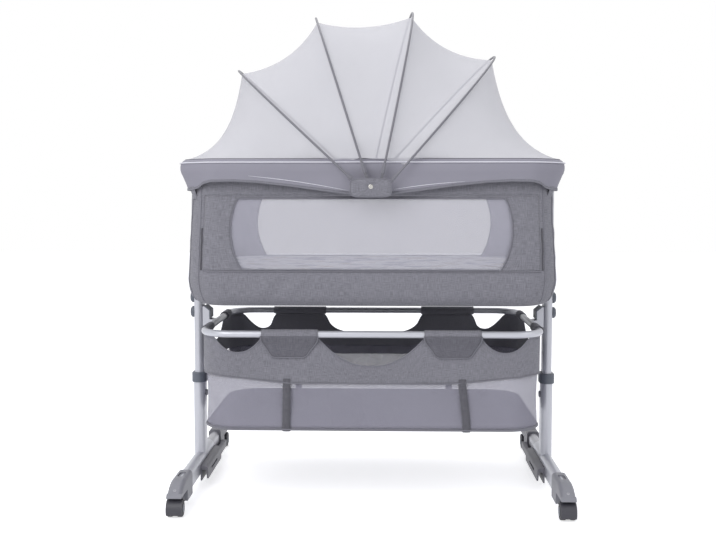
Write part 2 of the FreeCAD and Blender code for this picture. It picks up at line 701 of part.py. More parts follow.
cover = new_body("bracket_cover")
strip = sketch(cover, "XZ_Plane", -0.5 * d.inner_post_depth)
loop(strip, [
    (keep_out - 3.6, d.ring_height + 38.1), (keep_out - 16.6, d.ring_height + 27.6),
    (keep_out - 16.6, d.ring_height + 9), (keep_out - 19.6, d.ring_height + 9),
    (keep_out - 19.6, d.ring_height + 29), (keep_out - 5.5, d.ring_height + 40.4),
])
pad(cover, strip, d.inner_post_depth)
both(cover, "bracket_covers")

skirt = tub_wall("storage_skirt", d.ring_length + 1, d.ring_depth + 1, d.ring_radius + 1,
                 size(2), d.skirt_bottom,
                 d.ring_height - 0.5 * d.ring_tube - 4 * d.running)
hem = d.ring_height - 15


def dip(role, out, middle, half, ease, back):
    """A round dip in the upper edge of the skirt, its curve wider than itself by ease."""
    outline = sketch(skirt, role, out)
    low, high = size(middle) - half, size(middle) + half
    loop(outline, [
        (low, d.ring_height), (low, hem, half + ease), (high, hem), (high, d.ring_height),
    ])
    pocket(skirt, outline, 10, back=back)


front_out, side_out = d.ring_depth + 5, d.ring_length + 5
dip("XZ_Plane", front_out, 0, d.front_tab_in, 41, True)
dip("XZ_Plane", -front_out, 0, d.back_tab_in, 41, False)
for side in (1, -1):
    dip("XZ_Plane", front_out, side * (d.front_tab_out + 53), 52, 20, True)
    dip("XZ_Plane", -front_out, side * (d.back_tab_out + 41), 41, 1, False)
    dip("YZ_Plane", side * side_out, 0, d.side_tab_in, 30, side > 0)
loops = []
side_span = d.side_tab_out - d.side_tab_in
for side in (1, -1):
    loops += [
        ("YZ_Plane", side * d.front_tab_in, -d.ring_depth,
         d.front_tab_out - d.front_tab_in, side < 0),
        ("YZ_Plane", side * d.back_tab_in, d.ring_depth,
         d.back_tab_out - d.back_tab_in, side < 0),
        ("XZ_Plane", side * d.side_tab_in, d.ring_length, side_span, side < 0),
        ("XZ_Plane", side * d.side_tab_in, -d.ring_length, side_span, side < 0),
    ]
for role, start, across, length, back in loops:
    ring = sketch(skirt, role, start)
    disc(ring, 0.5 * d.loop_tube, across, d.ring_height)
    disc(ring, 0.5 * d.ring_tube + d.running, across, d.ring_height)
    pad(skirt, ring, length, back=back)
for side in (1, -1):
    tab = sketch(skirt, "XZ_Plane", d.ring_depth + 2.6)
    tab_low = d.ring_height - d.tab_drop
    loop(tab, [
        (side * (d.front_tab_in + 1), d.ring_height - 9),
        (side * (d.front_tab_in + 24), tab_low + 7, side * 8),
        (side * (d.front_tab_in + 31), tab_low),
        (side * (d.front_tab_out - 28), tab_low, side * 8),
        (side * (d.front_tab_out - 21), tab_low + 7),
        (side * (d.front_tab_out - 1), d.ring_height - 9),
    ])
    pad(skirt, tab, 1.7, back=True)
keep(skirt, "storage_skirt")

wall_inset = 1 + d.running
basket_mesh = tub_wall("basket_mesh", d.ring_length - wall_inset, d.ring_depth - wall_inset,
                       d.ring_radius + 10, d.mesh, d.basket_floor_top + d.running,
                       d.skirt_bottom + 12)
keep(basket_mesh, "basket_mesh")
floor_x = d.ring_length - 4
floor_y = d.ring_depth - 4
floor_r = d.ring_radius + 6
basket_floor = flat_panel("basket_floor", floor_x, floor_y, floor_r,
                          d.basket_floor_base, d.basket_floor_top)
keep(basket_floor, "basket_floor")
piping = ring_tube("basket_piping", floor_x + 3, floor_y + 3, floor_r + 3,
                   0.5 * d.basket_floor_base + 0.5 * d.basket_floor_top, size(5.4), None)
keep(piping, "basket_piping")

strap = new_body("basket_strap")
side_view = sketch(strap, "YZ_Plane", d.strap_x - 0.5 * d.strap_width)
reach = floor_y + 3 + 2.7 + d.running + d.strap_thickness
low = d.basket_floor_base - d.strap_thickness - d.running
inner = reach - d.strap_thickness
loop(side_view, [
    (-reach, d.skirt_bottom + 6), (-reach, low), (reach, low),
    (reach, d.skirt_bottom + 6), (inner, d.skirt_bottom + 6),
    (inner, low + d.strap_thickness), (-inner, low + d.strap_thickness),
    (-inner, d.skirt_bottom + 6),
])
pad(strap, side_view, d.strap_width)
both(strap, "basket_straps")

# ---------------------------------------------------------------- canopy hubs

hub = new_body("hub")
front_view = sketch(hub, "XZ_Plane", d.hub_back)
half_top = 0.5 * d.hub_width
hub_outline = [
    (-half_top + 14, d.hub_top, 18), (-half_top, d.hub_top - 14),
    (-half_top + 4, d.hub_bottom + 9, 12), (-half_top + 14, d.hub_bottom),
    (half_top - 14, d.hub_bottom, 12), (half_top - 4, d.hub_bottom + 9),
    (half_top, d.hub_top - 14, 18), (half_top - 14, d.hub_top),
]
loop(front_view, hub_outline)
pad(hub, front_view, d.hub_front - d.hub_back)
gap_view = sketch(hub, "YZ_Plane", -half_top - 1)
box(gap_view, -d.slot_front, -d.slot_back, d.hub_bottom + d.hub_floor, d.hub_top + 1)
pocket(hub, gap_view, d.hub_width + 2)
lip = sketch(hub, "XZ_Plane", d.slot_front)
loop(lip, [
    (-half_top + 14, d.hub_bottom + 1), (-half_top + 20, d.hub_bottom - d.hub_lip),
    (half_top - 20, d.hub_bottom - d.hub_lip), (half_top - 14, d.hub_bottom + 1),
])
pad(hub, lip, d.hub_front - d.slot_front)
hole = sketch(hub, "XZ_Plane", d.hub_back + 4)
disc(hole, 0.5 * d.pin + 0.05, 0, d.hub_height)
pocket(hub, hole, d.hub_front - d.hub_back)
keep(hub, "hub_front")
keep(mirrored(hub, Vector(0, 1, 0)), "hub_back")

rivet = new_body("rivet")
section = sketch(rivet, "XZ_Plane", d.hub_back + 4.1)
disc(section, 0.5 * d.pin, 0, d.hub_height)
pad(rivet, section, d.hub_front - d.hub_back - 4.1)
head = sketch(rivet, "XZ_Plane", d.hub_front)
disc(head, 0.9 * d.pin, 0, d.hub_height)
dome = pad(rivet, head, 2.2)
round_edges(rivet, dome, lambda e: e.BoundBox.YMin < -d.hub_front.value - 2.1, 1.6)
both(rivet, "hub_rivets", Vector(0, 1, 0))

# ---------------------------------------------------------------- canopy ribs

# for each rib: its angle above +X, and where its wire passes the pivot at the front
RIBS = [
    ("rib_a", 137.0, -16.0), ("rib_b", 107.6, -3.0),
    ("rib_c", 77.9, 19.0), ("rib_d", 48.1, 25.0),
]
BACK_PASS = -12.0
BACKWARD = Vector(0, 1, 0)


class Bow:
    """The plane bow of one rib: a side arc, the crown arc and the other side arc."""

    def __init__(self, index, shift=0):
        label, angle, front_pass = RIBS[index]
        turn = math.radians(angle)
        self.radial = Vector(math.cos(turn), 0, math.sin(turn))
        self.across = Vector(math.sin(turn), 0, -math.cos(turn))
        self.half = d.rib_first.value + index * d.rib_pitch.value
        self.pivot = Vector(0, 0, d.hub_height.value)
        middle = (front_pass + BACK_PASS) / 2 + shift
        slope = (BACK_PASS - front_pass) / (2 * self.half)
        self.base = self.pivot + self.across * middle
        self.side = Vector(0, 1, 0) + self.across * slope
        self.foot = d.rib_front_start.value
        self.crown = d.rib_crown.value
        rise = d.rib_reach.value - self.foot
        self.bend = ((self.half ** 2 + rise ** 2 - 2 * rise * self.crown)
                     / (2 * self.half - 2 * self.crown))
        self.top = d.rib_reach.value - self.crown
        self.lean = math.atan2(self.top - self.foot, self.bend - self.half)

    def at(self, across, out):
        return self.base + self.side * across + self.radial * out

    def on_side(self, sign, out):
        """The point of a side arc at a distance out from the pivot."""
        inward = self.bend - math.sqrt(self.bend ** 2 - (out - self.foot) ** 2)
        return self.at(sign * (self.half - inward), out)

    def on_crown(self, turn):
        return self.at(self.crown * math.cos(turn), self.top + self.crown * math.sin(turn))

    def edges(self, front_start, back_start):
        """The bow from its front end, over the crown, to its back end."""
        back_joint = self.on_crown(self.lean)
        front_joint = self.on_crown(math.pi - self.lean)
        joint_out = self.top + self.crown * math.sin(self.lean)
        front_middle = self.on_side(-1, (front_start + joint_out) / 2)
        back_middle = self.on_side(1, (back_start + joint_out) / 2)
        arcs = [
            Part.Arc(self.on_side(-1, front_start), front_middle, front_joint),
            Part.Arc(front_joint, self.on_crown(math.pi / 2), back_joint),
            Part.Arc(back_joint, back_middle, self.on_side(1, back_start)),
        ]
        return [arc.toShape() for arc in arcs]


def link(p, q, radius, y, thickness):
    """A flat link with round ends between two points of the front view."""
    along = q - p
    solids = []
    for point in (p, q):
        solids.append(Part.makeCylinder(radius, thickness, Vector(point.x, y, point.z),
                                        Vector(0, 1, 0)))
    side = Vector(along.z, 0, -along.x).normalize() * radius
    corners = [p + side, q + side, q - side, p - side, p + side]
    face = Part.Face(Part.makePolygon([Vector(c.x, y, c.z) for c in corners]))
    solids.append(face.extrude(Vector(0, thickness, 0)))
    return solids[0].multiFuse(solids[1:]).removeSplitter()


def make_rib(index):
    """A bent wire with a flat, pierced end at each hub."""
    front_pass = RIBS[index][2]
    bow = Bow(index)
    front_start, back_start = d.rib_front_start.value, d.rib_back_start.value
    path = Part.Wire(bow.edges(front_start, back_start))
    start = path.Edges[0].valueAt(path.Edges[0].FirstParameter)
    heading = path.Edges[0].tangentAt(path.Edges[0].FirstParameter)
    ring = Part.Wire(Part.Circle(start, heading, d.rib_wire.value / 2).toShape())
    solid = path.makePipeShell([ring], True, False)
    thick = d.rib_plate.value
    plates = []
    for sign, out, aside in ((-1, front_start, front_pass), (1, back_start, BACK_PASS)):
        y = sign * bow.half - thick / 2
        elbow = bow.pivot + bow.radial * 12 + bow.across * aside
        end = bow.pivot + bow.radial * (out + 3) + bow.across * aside
        route = [bow.pivot, elbow, end] if abs(aside) > d.rib_eye.value else [bow.pivot, end]
        for here, there in zip(route, route[1:]):
            plates.append(link(here, there, d.rib_neck.value, y, thick))
        plates.append(Part.makeCylinder(d.rib_eye.value, thick,
                                        Vector(bow.pivot.x, y, bow.pivot.z), BACKWARD))
    solid = solid.multiFuse(plates)
    reach = 2 * bow.half
    hole = Part.makeCylinder(d.pin.value / 2 + 0.2 * d.running.value, 2 * reach,
                             bow.pivot - reach * BACKWARD, BACKWARD)
    return solid.cut(hole)


for index, (label, angle, front_pass) in enumerate(RIBS):
    feature(label, make_rib(index))

# ---------------------------------------------------------------- canopy net


LEG_STEPS, CROWN_STEPS = 8, 14
NET_SHARES = (0, 0.25, 0.5, 0.75, 1)
GORE_DIPS = (0.12, 0.075, 0.12)
END_PULL, END_FALL = 0.134, 0.27


def net_line(index, shift):
    """The line inside a rib where the net hangs, from the front over the crown."""
    bow = Bow(index, shift)
    start = d.net_start.value
    close = d.rib_wire.value / 2 + 1.7 * d.running.value
    joint = bow.top + bow.crown * math.sin(bow.lean)
    line = []
    for i in range(LEG_STEPS):
        line.append((bow.on_side(-1, start + (joint - start) * i / LEG_STEPS), 0))
    for i in range(CROWN_STEPS):
        turn = math.pi - bow.lean - (math.pi - 2 * bow.lean) * i / CROWN_STEPS
        line.append((bow.on_crown(turn), math.sin(turn) ** 3))
    for i in range(LEG_STEPS + 1):
        line.append((bow.on_side(1, joint - (joint - start) * i / LEG_STEPS), 0))
    heart = bow.at(0, d.rib_reach.value / 2)
    return [point + (heart - point).normalize() * (close + d.net_ease.value * ease)
            for point, ease in line]


def rim_line(side, count):
    """Half of the rim in plan, from the front hub round one end to the back hub."""
    half_x, half_y = d.rim_length.value, d.rim_depth.value
    radius = d.rim_radius.value
    start = d.net_start.value - 8
    straight = half_x - radius - start
    arc = math.pi / 2 * radius
    end = 2 * (half_y - radius)
    total = 2 * straight + 2 * arc + end
    height = (d.rim_height + 0.5 * d.rim_sleeve + d.net_thickness + d.running).value
    points = []
    for i in range(count):
        s = total * i / (count - 1)
        if s <= straight:
            x, y = start + s, -half_y
        elif s <= straight + arc:
            a = (s - straight) / radius
            x = half_x - radius + radius * math.sin(a)
            y = -half_y + radius - radius * math.cos(a)
        elif s <= straight + arc + end:
            x, y = half_x, -half_y + radius + (s - straight - arc)
        elif s <= straight + 2 * arc + end:
            a = (s - straight - arc - end) / radius
            x = half_x - radius + radius * math.cos(a)
            y = half_y - radius + radius * math.sin(a)
        else:
            x, y = half_x - radius - (s - straight - 2 * arc - end), half_y
        points.append(Vector(side * x, y, height))
    return points


def gore_control(p, q, dip):
    """Where a gore would meet if it were pulled towards the pivots."""
    middle = (p + q) * 0.5
    pivot = Vector(0, 0.55 * middle.y, d.hub_height.value + 20)
    return middle + (pivot - middle).normalize() * ((q - p).Length * 2 * dip)


def end_control(p, q):
    """Where an end net would meet if it were pulled inwards and down."""
    middle = (p + q) * 0.5
    chord = (q - p).Length
    inward = Vector(-middle.x, -0.5 * middle.y, 0).normalize()
    control = middle + inward * (chord * END_PULL) - Vector(0, 0, chord * END_FALL)
    control.z = max(control.z, q.z + 1)
    return control


def net_grid(first, second, control):
    grid = []
    for share in NET_SHARES:
        grid.append([p * (1 - share) ** 2 + control(p, q) * (2 * share * (1 - share))
                     + q * share ** 2 for p, q in zip(first, second)])
    return grid


def thickened(grid, depth):
    """The same grid moved inwards along the sheet's own normals."""
    rows, columns = len(grid), len(grid[0])
    heart = Vector(0, 0, d.rim_height.value)
    inner = []
    for i in range(rows):
        row = []
        for j in range(columns):
            across = grid[min(i + 1, rows - 1)][j] - grid[max(i - 1, 0)][j]
            along = grid[i][min(j + 1, columns - 1)] - grid[i][max(j - 1, 0)]
            normal = across.cross(along).normalize()
            if normal.dot(heart - grid[i][j]) < 0:
                normal = -normal
            row.append(grid[i][j] + normal * depth)
        inner.append(row)
    return inner


def edges_of(surface):
    u_low, u_high, v_low, v_high = surface.bounds()
    curves = [surface.uIso(u_low), surface.uIso(u_high),
              surface.vIso(v_low), surface.vIso(v_high)]
    return [curve.toShape() for curve in curves]


def net_solid(grid):
    """A closed thin sheet through a grid of points."""
    surfaces = []
    for points in (grid, thickened(grid, d.net_thickness.value)):
        surface = Part.BSplineSurface()
        surface.interpolate(points)
        surfaces.append(surface)
    faces = [surface.toShape() for surface in surfaces]
    for outer, inner in zip(edges_of(surfaces[0]), edges_of(surfaces[1])):
        faces.append(Part.makeRuledSurface(outer, inner))
    shell = Part.makeShell(faces)
    shell.sewShape()
    solid = Part.Solid(shell)
    if solid.Volume < 0:
        solid.reverse()
    return solid


aside = 0.5 * d.net_thickness.value + 0.5 * d.running.value
for index, dip in enumerate(GORE_DIPS):
    first, second = net_line(index, aside), net_line(index + 1, -aside)
    label = "net_gore_" + "abc"[index]
    feature(label, net_solid(net_grid(first, second,
                                      lambda p, q: gore_control(p, q, dip))))
first = net_line(0, -aside)
feature("net_left", net_solid(net_grid(first, rim_line(-1, len(first)), end_control)))
first = net_line(len(GORE_DIPS), aside)
feature("net_right", net_solid(net_grid(first, rim_line(1, len(first)), end_control)))

# ---------------------------------------------------------------- legs

wide = 0.5 * d.outer_post_width
deep = 0.5 * d.outer_post_depth
leg = new_body("leg_tube_right")
end_view = sketch(leg, "XZ_Plane", d.foot_front)
stadium(end_view, wide, deep, d.post_x, d.foot_height)
pad(leg, end_view, d.foot_front + d.foot_back, back=True)
plan = sketch(leg, "XY_Plane", d.foot_height)
stadium(plan, wide, deep, d.post_x)
pad(leg, plan, d.outer_post_top - d.foot_height)
end_view = sketch(leg, "XZ_Plane", d.foot_front + 1)
stadium(end_view, wide - d.tube_wall, deep - d.tube_wall, d.post_x, d.foot_height)
pocket(leg, end_view, d.foot_front + d.foot_back + 2, back=True)
plan = sketch(leg, "XY_Plane", d.foot_height + deep + 1)
stadium(plan, wide - d.tube_wall, deep - d.tube_wall, d.post_x)
pocket(leg, plan, d.outer_post_top)
hole = sketch(leg, "YZ_Plane", d.post_x - wide - 1)
disc(hole, 0.5 * d.button + 0.08, 0, d.button_height)
pocket(leg, hole, wide)
left_and_right(leg, "leg_tube")

collar = new_body("collar_right")
plan = sketch(collar, "XY_Plane", d.collar_bottom)
stadium(plan, 0.5 * d.collar_width, 0.5 * d.collar_depth, d.post_x)
ring = pad(collar, plan, d.collar_height)
collar_top = d.collar_bottom.value + d.collar_height.value
rounding = round_edges(collar, ring,
                       lambda e: abs(e.BoundBox.ZMin - collar_top) < 0.01, 3)
plan = sketch(collar, "XY_Plane", d.collar_bottom - 1)
stadium(plan, wide + 0.05, deep + 0.05, d.post_x)
pocket(collar, plan, d.outer_post_top - d.collar_bottom + 1.1)
plan = sketch(collar, "XY_Plane", d.collar_bottom - 1)
stadium(plan, 0.5 * d.inner_post_width + d.running, 0.5 * d.inner_post_depth + d.running,
        d.post_x)
pocket(collar, plan, d.collar_height + 2)
left_and_right(collar, "collar")

button = new_body("leg_button_right")
side_view = sketch(button, "YZ_Plane", d.post_x - wide - d.button_out)
disc(side_view, 0.5 * d.button, 0, d.button_height)
knob = pad(button, side_view, d.button_out + 0.2)
button_face = d.post_x.value - wide.value - d.button_out.value
round_edges(button, knob, lambda e: e.BoundBox.XMax < button_face + 0.01, 1.6)
left_and_right(button, "leg_button")


def foot_cap(name, tube_x, tube_z):
    """A moulded cap: a sleeve on the foot tube and a nose over the caster."""
    cap = new_body(name)
    half = 0.5 * d.cap_width
    side_view = sketch(cap, "YZ_Plane", d.post_x - half)
    foot_end = d.foot_front + 2
    nose_top = d.nose_bottom + d.nose_height
    loop(side_view, [
        (-d.cap_start, d.cap_top), (-foot_end, d.cap_top, 95),
        (-d.cap_nose + 5, nose_top, 9), (-d.cap_nose, d.nose_bottom),
        (-foot_end, d.nose_bottom), (-foot_end, d.cap_bottom),
        (-d.cap_start, d.cap_bottom),
    ])
    block = pad(cap, side_view, d.cap_width)
    edge_floor = nose_top.value - 1
    round_edges(cap, block, lambda e: e.BoundBox.ZMin > edge_floor
                and e.BoundBox.XLength < 0.01 and e.BoundBox.YLength > 5, 9)
    bore = sketch(cap, "XZ_Plane", d.cap_start - 1)
    stadium(bore, tube_x + 0.05, tube_z + 0.05, d.post_x, d.foot_height)
    pocket(cap, bore, d.foot_front - d.cap_start + 1.2)
    dish = sketch(cap, "XY_Plane", d.cap_top - 3.2)
    stadium(dish, 7.5, 19, d.post_x, -d.cap_start - 38)
    pocket(cap, dish, 20)
    socket = sketch(cap, "XY_Plane", d.nose_bottom - 1)
    disc(socket, 0.5 * d.stem + 0.2 * d.running, d.post_x, -d.caster_y)
    pocket(cap, socket, d.stem_length - 0.5)
    return cap


front_cap = foot_cap("foot_cap_right", wide, deep)
left_and_right(front_cap, "foot_cap")

guide_outer = d.post_x - wide - d.running
guide = new_body("foot_guide_right")
end_view = sketch(guide, "XZ_Plane", d.guide_front)
bend = d.guide_inner + d.guide_wall
loop(end_view, [
    (d.guide_inner, d.guide_bottom), (d.guide_inner, d.guide_top - 5, -6),
    (d.guide_inner + 5, d.guide_top), (guide_outer, d.guide_top + 2),
    (guide_outer, d.guide_bottom - 3), (guide_outer - d.guide_wall, d.guide_bottom - 3),
    (guide_outer - d.guide_wall, d.guide_top - 9), (bend, d.guide_top - 9),
    (bend, d.guide_bottom),
])
pad(guide, end_view, d.guide_front + d.guide_back, back=True)
slot = sketch(guide, "YZ_Plane", d.guide_inner - 1)
stadium(slot, 40, 2.6, 6, d.guide_top - 17)
pocket(guide, slot, d.guide_wall + 1.5)
notch = sketch(guide, "YZ_Plane", d.guide_inner - 1)
loop(notch, [
    (-d.guide_front - 1, d.guide_bottom + 14), (-d.guide_front + 9, d.guide_bottom - 1),
    (-d.guide_front - 1, d.guide_bottom - 1),
])
pocket(guide, notch, d.guide_wall + 1.5)
left_and_right(guide, "foot_guide")

# ---------------------------------------------------------------- retracting back feet

back_tube = new_body("back_foot_tube_right")
end_view = sketch(back_tube, "XZ_Plane", 20)
slip = d.tube_wall + d.running
stadium(end_view, wide - slip, deep - slip, d.post_x, d.foot_height)
stadium(end_view, wide - slip - 1.3, deep - slip - 1.3, d.post_x, d.foot_height)
pad(back_tube, end_view, d.foot_front + 20, back=True)
left_and_right(back_tube, "back_foot_tube")

cap_front_version = foot_cap("back_foot_cap_model", wide - slip, deep - slip)
lug = sketch(cap_front_version, "YZ_Plane", d.guide_inner + d.guide_wall + 0.4)
box(lug, -d.cap_start - 22, -d.cap_start + 10, d.guide_bottom + 5, d.guide_top - 10)
pad(cap_front_version, lug, d.post_x - 0.5 * d.cap_width - d.guide_inner - d.guide_wall + 1)
bar = sketch(cap_front_version, "YZ_Plane", d.guide_inner + d.guide_wall + 0.4)
box(bar, -d.cap_start + 9, -10, d.guide_bottom + 5, d.guide_top - 10)
bar_width = guide_outer - d.guide_inner - 2 * d.guide_wall - 0.8
pad(cap_front_version, bar, bar_width)
turned_cap = mirrored(cap_front_version, Vector(0, 1, 0))
keep(turned_cap, "back_foot_cap_right")
keep(mirrored(turned_cap), "back_foot_cap_left")

# ---------------------------------------------------------------- casters

fork = new_body("caster_fork")
radius = 0.5 * d.hood
axle_z = 0.5 * d.wheel
span = d.wheel_gap + 2 * d.wheel_width
side_view = sketch(fork, "YZ_Plane", -0.5 * span)
disc(side_view, radius, -d.caster_trail, axle_z)
disc(side_view, 0.5 * d.wheel + 0.7, -d.caster_trail, axle_z)
pad(fork, side_view, span)
web = sketch(fork, "YZ_Plane", -0.5 * d.wheel_gap + 0.3)
disc(web, 0.5 * d.wheel + 1.5, -d.caster_trail, axle_z)
pad(fork, web, d.wheel_gap - 0.6)
trim = sketch(fork, "YZ_Plane", -0.5 * span - 1)
box(trim, -far, far, -20, 6.5)
pocket(fork, trim, span + 2)
trim = sketch(fork, "YZ_Plane", -0.5 * span - 1)
loop(trim, [(-d.caster_trail, 0), (radius, 0), (radius, axle_z + 12),
            (-d.caster_trail + 17, axle_z + 12), (-d.caster_trail + 9, axle_z)])
pocket(fork, trim, span + 2)
neck = sketch(fork, "YZ_Plane", -0.5 * d.wheel_gap + 0.3)
box(neck, -6.5, 6.5, d.wheel - 12, d.wheel + 0.5)
pad(fork, neck, d.wheel_gap - 0.6)
boss = sketch(fork, "XY_Plane", d.wheel - 0.1)
disc(boss, 6.5)
boss_height = d.nose_rise - 1.3
pad(fork, boss, boss_height)
stem = sketch(fork, "XY_Plane", d.nose_bottom - 2)
disc(stem, 0.5 * d.stem)
pad(fork, stem, d.stem_length)
axle_hole = sketch(fork, "YZ_Plane", -0.5 * span - 1)
disc(axle_hole, 2.55, -d.caster_trail, axle_z)
pocket(fork, axle_hole, span + 2)

wheels = new_body("caster_wheels")
disk = sketch(wheels, "YZ_Plane", 0.5 * d.wheel_gap)
disc(disk, 0.5 * d.wheel, -d.caster_trail, axle_z)
pad(wheels, disk, d.wheel_width)
axle = sketch(wheels, "YZ_Plane", -0.5 * d.wheel_gap - 1)
disc(axle, 2.5, -d.caster_trail, axle_z)
pad(wheels, axle, d.wheel_gap + 2)
disk = sketch(wheels, "YZ_Plane", -0.5 * d.wheel_gap)
disc(disk, 0.5 * d.wheel, -d.caster_trail, axle_z)
tyre = pad(wheels, disk, d.wheel_width, back=True)
wheel_edge = 0.5 * d.wheel.value
round_edges(wheels, tyre, lambda e: len(e.Vertexes) == 1
            and abs(e.BoundBox.YLength / 2 - wheel_edge) < 0.01, 3)

for where, x_side, y_side in (("front_right", 1, -1), ("front_left", -1, -1),
                              ("back_right", 1, 1), ("back_left", -1, 1)):
    for source, label in ((fork, "caster_fork_"), (wheels, "caster_wheels_")):
        copy = doc.addObject("Part::Compound", label + where)
        copy.Links = [source]
        place(copy, x_side * d.post_x, y_side * d.caster_y, 0, 0 if y_side < 0 else 180)
        keep(copy, label + where)

# ---------------------------------------------------------------- write the pieces

doc.recompute()
problems = []
for obj in doc.Objects:
    if "Invalid" in obj.State or "Error" in obj.State:
        problems.append("%s is %s" % (obj.Name, obj.State))
for label, obj in parts:
    shape = obj.Shape
    if shape.isNull() or not shape.isValid() or not shape.Solids:
        problems.append("%s has no sound solid" % label)
if problems:
    raise RuntimeError("; ".join(problems))

os.makedirs("parts", exist_ok=True)
for label, obj in parts:
    obj.Shape.exportStep("parts/%s.step" % label)
print(len(parts), "pieces written")
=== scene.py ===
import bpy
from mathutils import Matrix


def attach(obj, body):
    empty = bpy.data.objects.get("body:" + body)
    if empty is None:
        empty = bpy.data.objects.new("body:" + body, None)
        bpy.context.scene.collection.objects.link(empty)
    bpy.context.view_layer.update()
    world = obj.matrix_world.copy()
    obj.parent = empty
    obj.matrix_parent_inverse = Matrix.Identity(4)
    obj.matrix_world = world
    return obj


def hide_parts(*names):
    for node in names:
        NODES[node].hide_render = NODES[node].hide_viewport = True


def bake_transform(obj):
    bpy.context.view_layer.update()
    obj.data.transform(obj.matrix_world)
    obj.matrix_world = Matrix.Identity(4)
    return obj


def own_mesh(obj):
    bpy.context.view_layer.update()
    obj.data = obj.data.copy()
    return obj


bl_info = {
    "name": "Bedside sleeper crib",
    "version": (1, 0, 0),
    "blender": (4, 5, 0),
    "location": "3D View > Sidebar > Crib",
    "description": "Dresses the bedside sleeper crib in cloth, net, mesh and paint",
    "category": "Object",
}

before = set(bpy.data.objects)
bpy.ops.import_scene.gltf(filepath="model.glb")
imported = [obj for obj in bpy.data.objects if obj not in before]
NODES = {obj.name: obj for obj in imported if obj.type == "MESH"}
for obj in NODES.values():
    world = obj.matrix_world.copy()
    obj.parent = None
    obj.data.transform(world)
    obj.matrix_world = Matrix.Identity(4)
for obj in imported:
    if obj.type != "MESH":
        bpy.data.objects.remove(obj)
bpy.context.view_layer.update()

import math
from itertools import accumulate

import bpy
from bpy.props import FloatProperty, FloatVectorProperty, PointerProperty
from mathutils import Vector, noise

SIDES = ((1, "right"), (-1, "left"))
UP = Vector((0, 0, 1))


def srgb(red, green, blue):
    """A colour given as 0 to 255 on screen, as the shaders want it."""
    out = []
    for part in (red, green, blue):
        part = part / 255
        out.append(part / 12.92 if part <= 0.04045 else ((part + 0.055) / 1.055) ** 2.4)
    return tuple(out)


def colour(label, description, red, green, blue):
    return FloatVectorProperty(name=label, description=description, subtype="COLOR",
                               size=3, min=0, max=1, default=srgb(red, green, blue))


def length(label, description, default):
    return FloatProperty(name=label, description=description, default=default,
                         unit="LENGTH", min=0)


# ---------------------------------------------------------------- settings

class CribSizes(bpy.types.PropertyGroup):
    """Sizes of the soft pieces."""
    window_half: length("Window half width", "Half way between its edges", 0.289)
    window_bow: length("Window bow", "How far the window sides bow outwards", 0.021)
    window_bottom: length("Window bottom", "Height of the lower window edge", 0.5428)
    window_top: length("Window top", "Height of the upper edge of the front window", 0.6995)
    back_window_top: length("Back window top", "Height of its upper edge", 0.703)
    hem: length("Rim hem", "Height of the rim cover's hem", 0.735)
    cloth: length("Cloth", "Thickness of the tub cloth", 0.002)


class CribColours(bpy.types.PropertyGroup):
    """Colours of the crib's materials."""
    linen: colour("Linen", "Grey melange cloth", 143, 142, 150)
    linen_dark: colour("Dark thread", "The darker thread of the melange", 104, 103, 111)
    lining: colour("Lining", "Pale lining of the tub", 208, 206, 216)
    net: colour("Net", "Canopy net", 215, 214, 220)
    mesh: colour("Window mesh", "Mesh of the windows", 196, 195, 206)
    basket: colour("Basket mesh", "Mesh of the storage basket", 176, 174, 188)
    # a darker copy of the linen: painted shade inside the storage skirt and on its back tabs
    shaded_cloth: colour("Dark cloth", "Inside of the storage skirt", 126, 125, 133)
    tape: colour("Binding", "Binding tape", 132, 131, 140)
    silver: colour("Silver paint", "Legs and storage ring", 196, 197, 204)
    plastic: colour("Plastic", "Foot caps and guides", 136, 136, 143)
    mattress: colour("Mattress", "Mattress cover", 236, 235, 238)


def sizes():
    return bpy.context.scene.crib_sizes


def colours():
    return bpy.context.scene.crib_colours


# ---------------------------------------------------------------- shader writing

class Signal:
    """A shader socket that can be used in arithmetic."""

    def __init__(self, shading, socket):
        self.shading = shading
        self.socket = socket

    def math(self, operation, *others):
        return self.shading.node("ShaderNodeMath", {"operation": operation},
                                 dict(enumerate((self,) + others)))

    def __add__(self, other):
        return self.math("ADD", other)

    __radd__ = __add__

    def __mul__(self, other):
        return self.math("MULTIPLY", other)

    __rmul__ = __mul__

    def __sub__(self, other):
        return self.math("SUBTRACT", other)

    def __rsub__(self, other):
        return self.shading.node("ShaderNodeMath", {"operation": "SUBTRACT"},
                                 {0: other, 1: self})


class Shading:
    """The nodes of a material or of the world."""

    def __init__(self, owner):
        owner.use_nodes = True
        self.tree = owner.node_tree

    def feed(self, target, value):
        """Link a signal to a socket, or set the socket's own value."""
        if isinstance(value, Signal):
            self.tree.links.new(value.socket, target)
        elif target.type == "RGBA" and len(value) == 3:
            target.default_value = (*value, 1)
        else:
            target.default_value = value

    def node(self, kind, settings=None, inputs=None, output=0):
        """Any node: its settings first, then its sockets; answers one output."""
        made = self.tree.nodes.new(kind)
        for key, value in (settings or {}).items():
            setattr(made, key, value)
        for key, value in (inputs or {}).items():
            self.feed(made.inputs[key], value)
        return Signal(self, made.outputs[output])

    def seen_directly(self):
        """1 for the camera, mirrors and clear pieces, 0 for the light that falls."""
        camera, mirror, clear = [self.node("ShaderNodeLightPath", output=key) for key in (
            "Is Camera Ray", "Is Glossy Ray", "Is Transmission Ray")]
        return camera.math("MAXIMUM", mirror).math("MAXIMUM", clear)


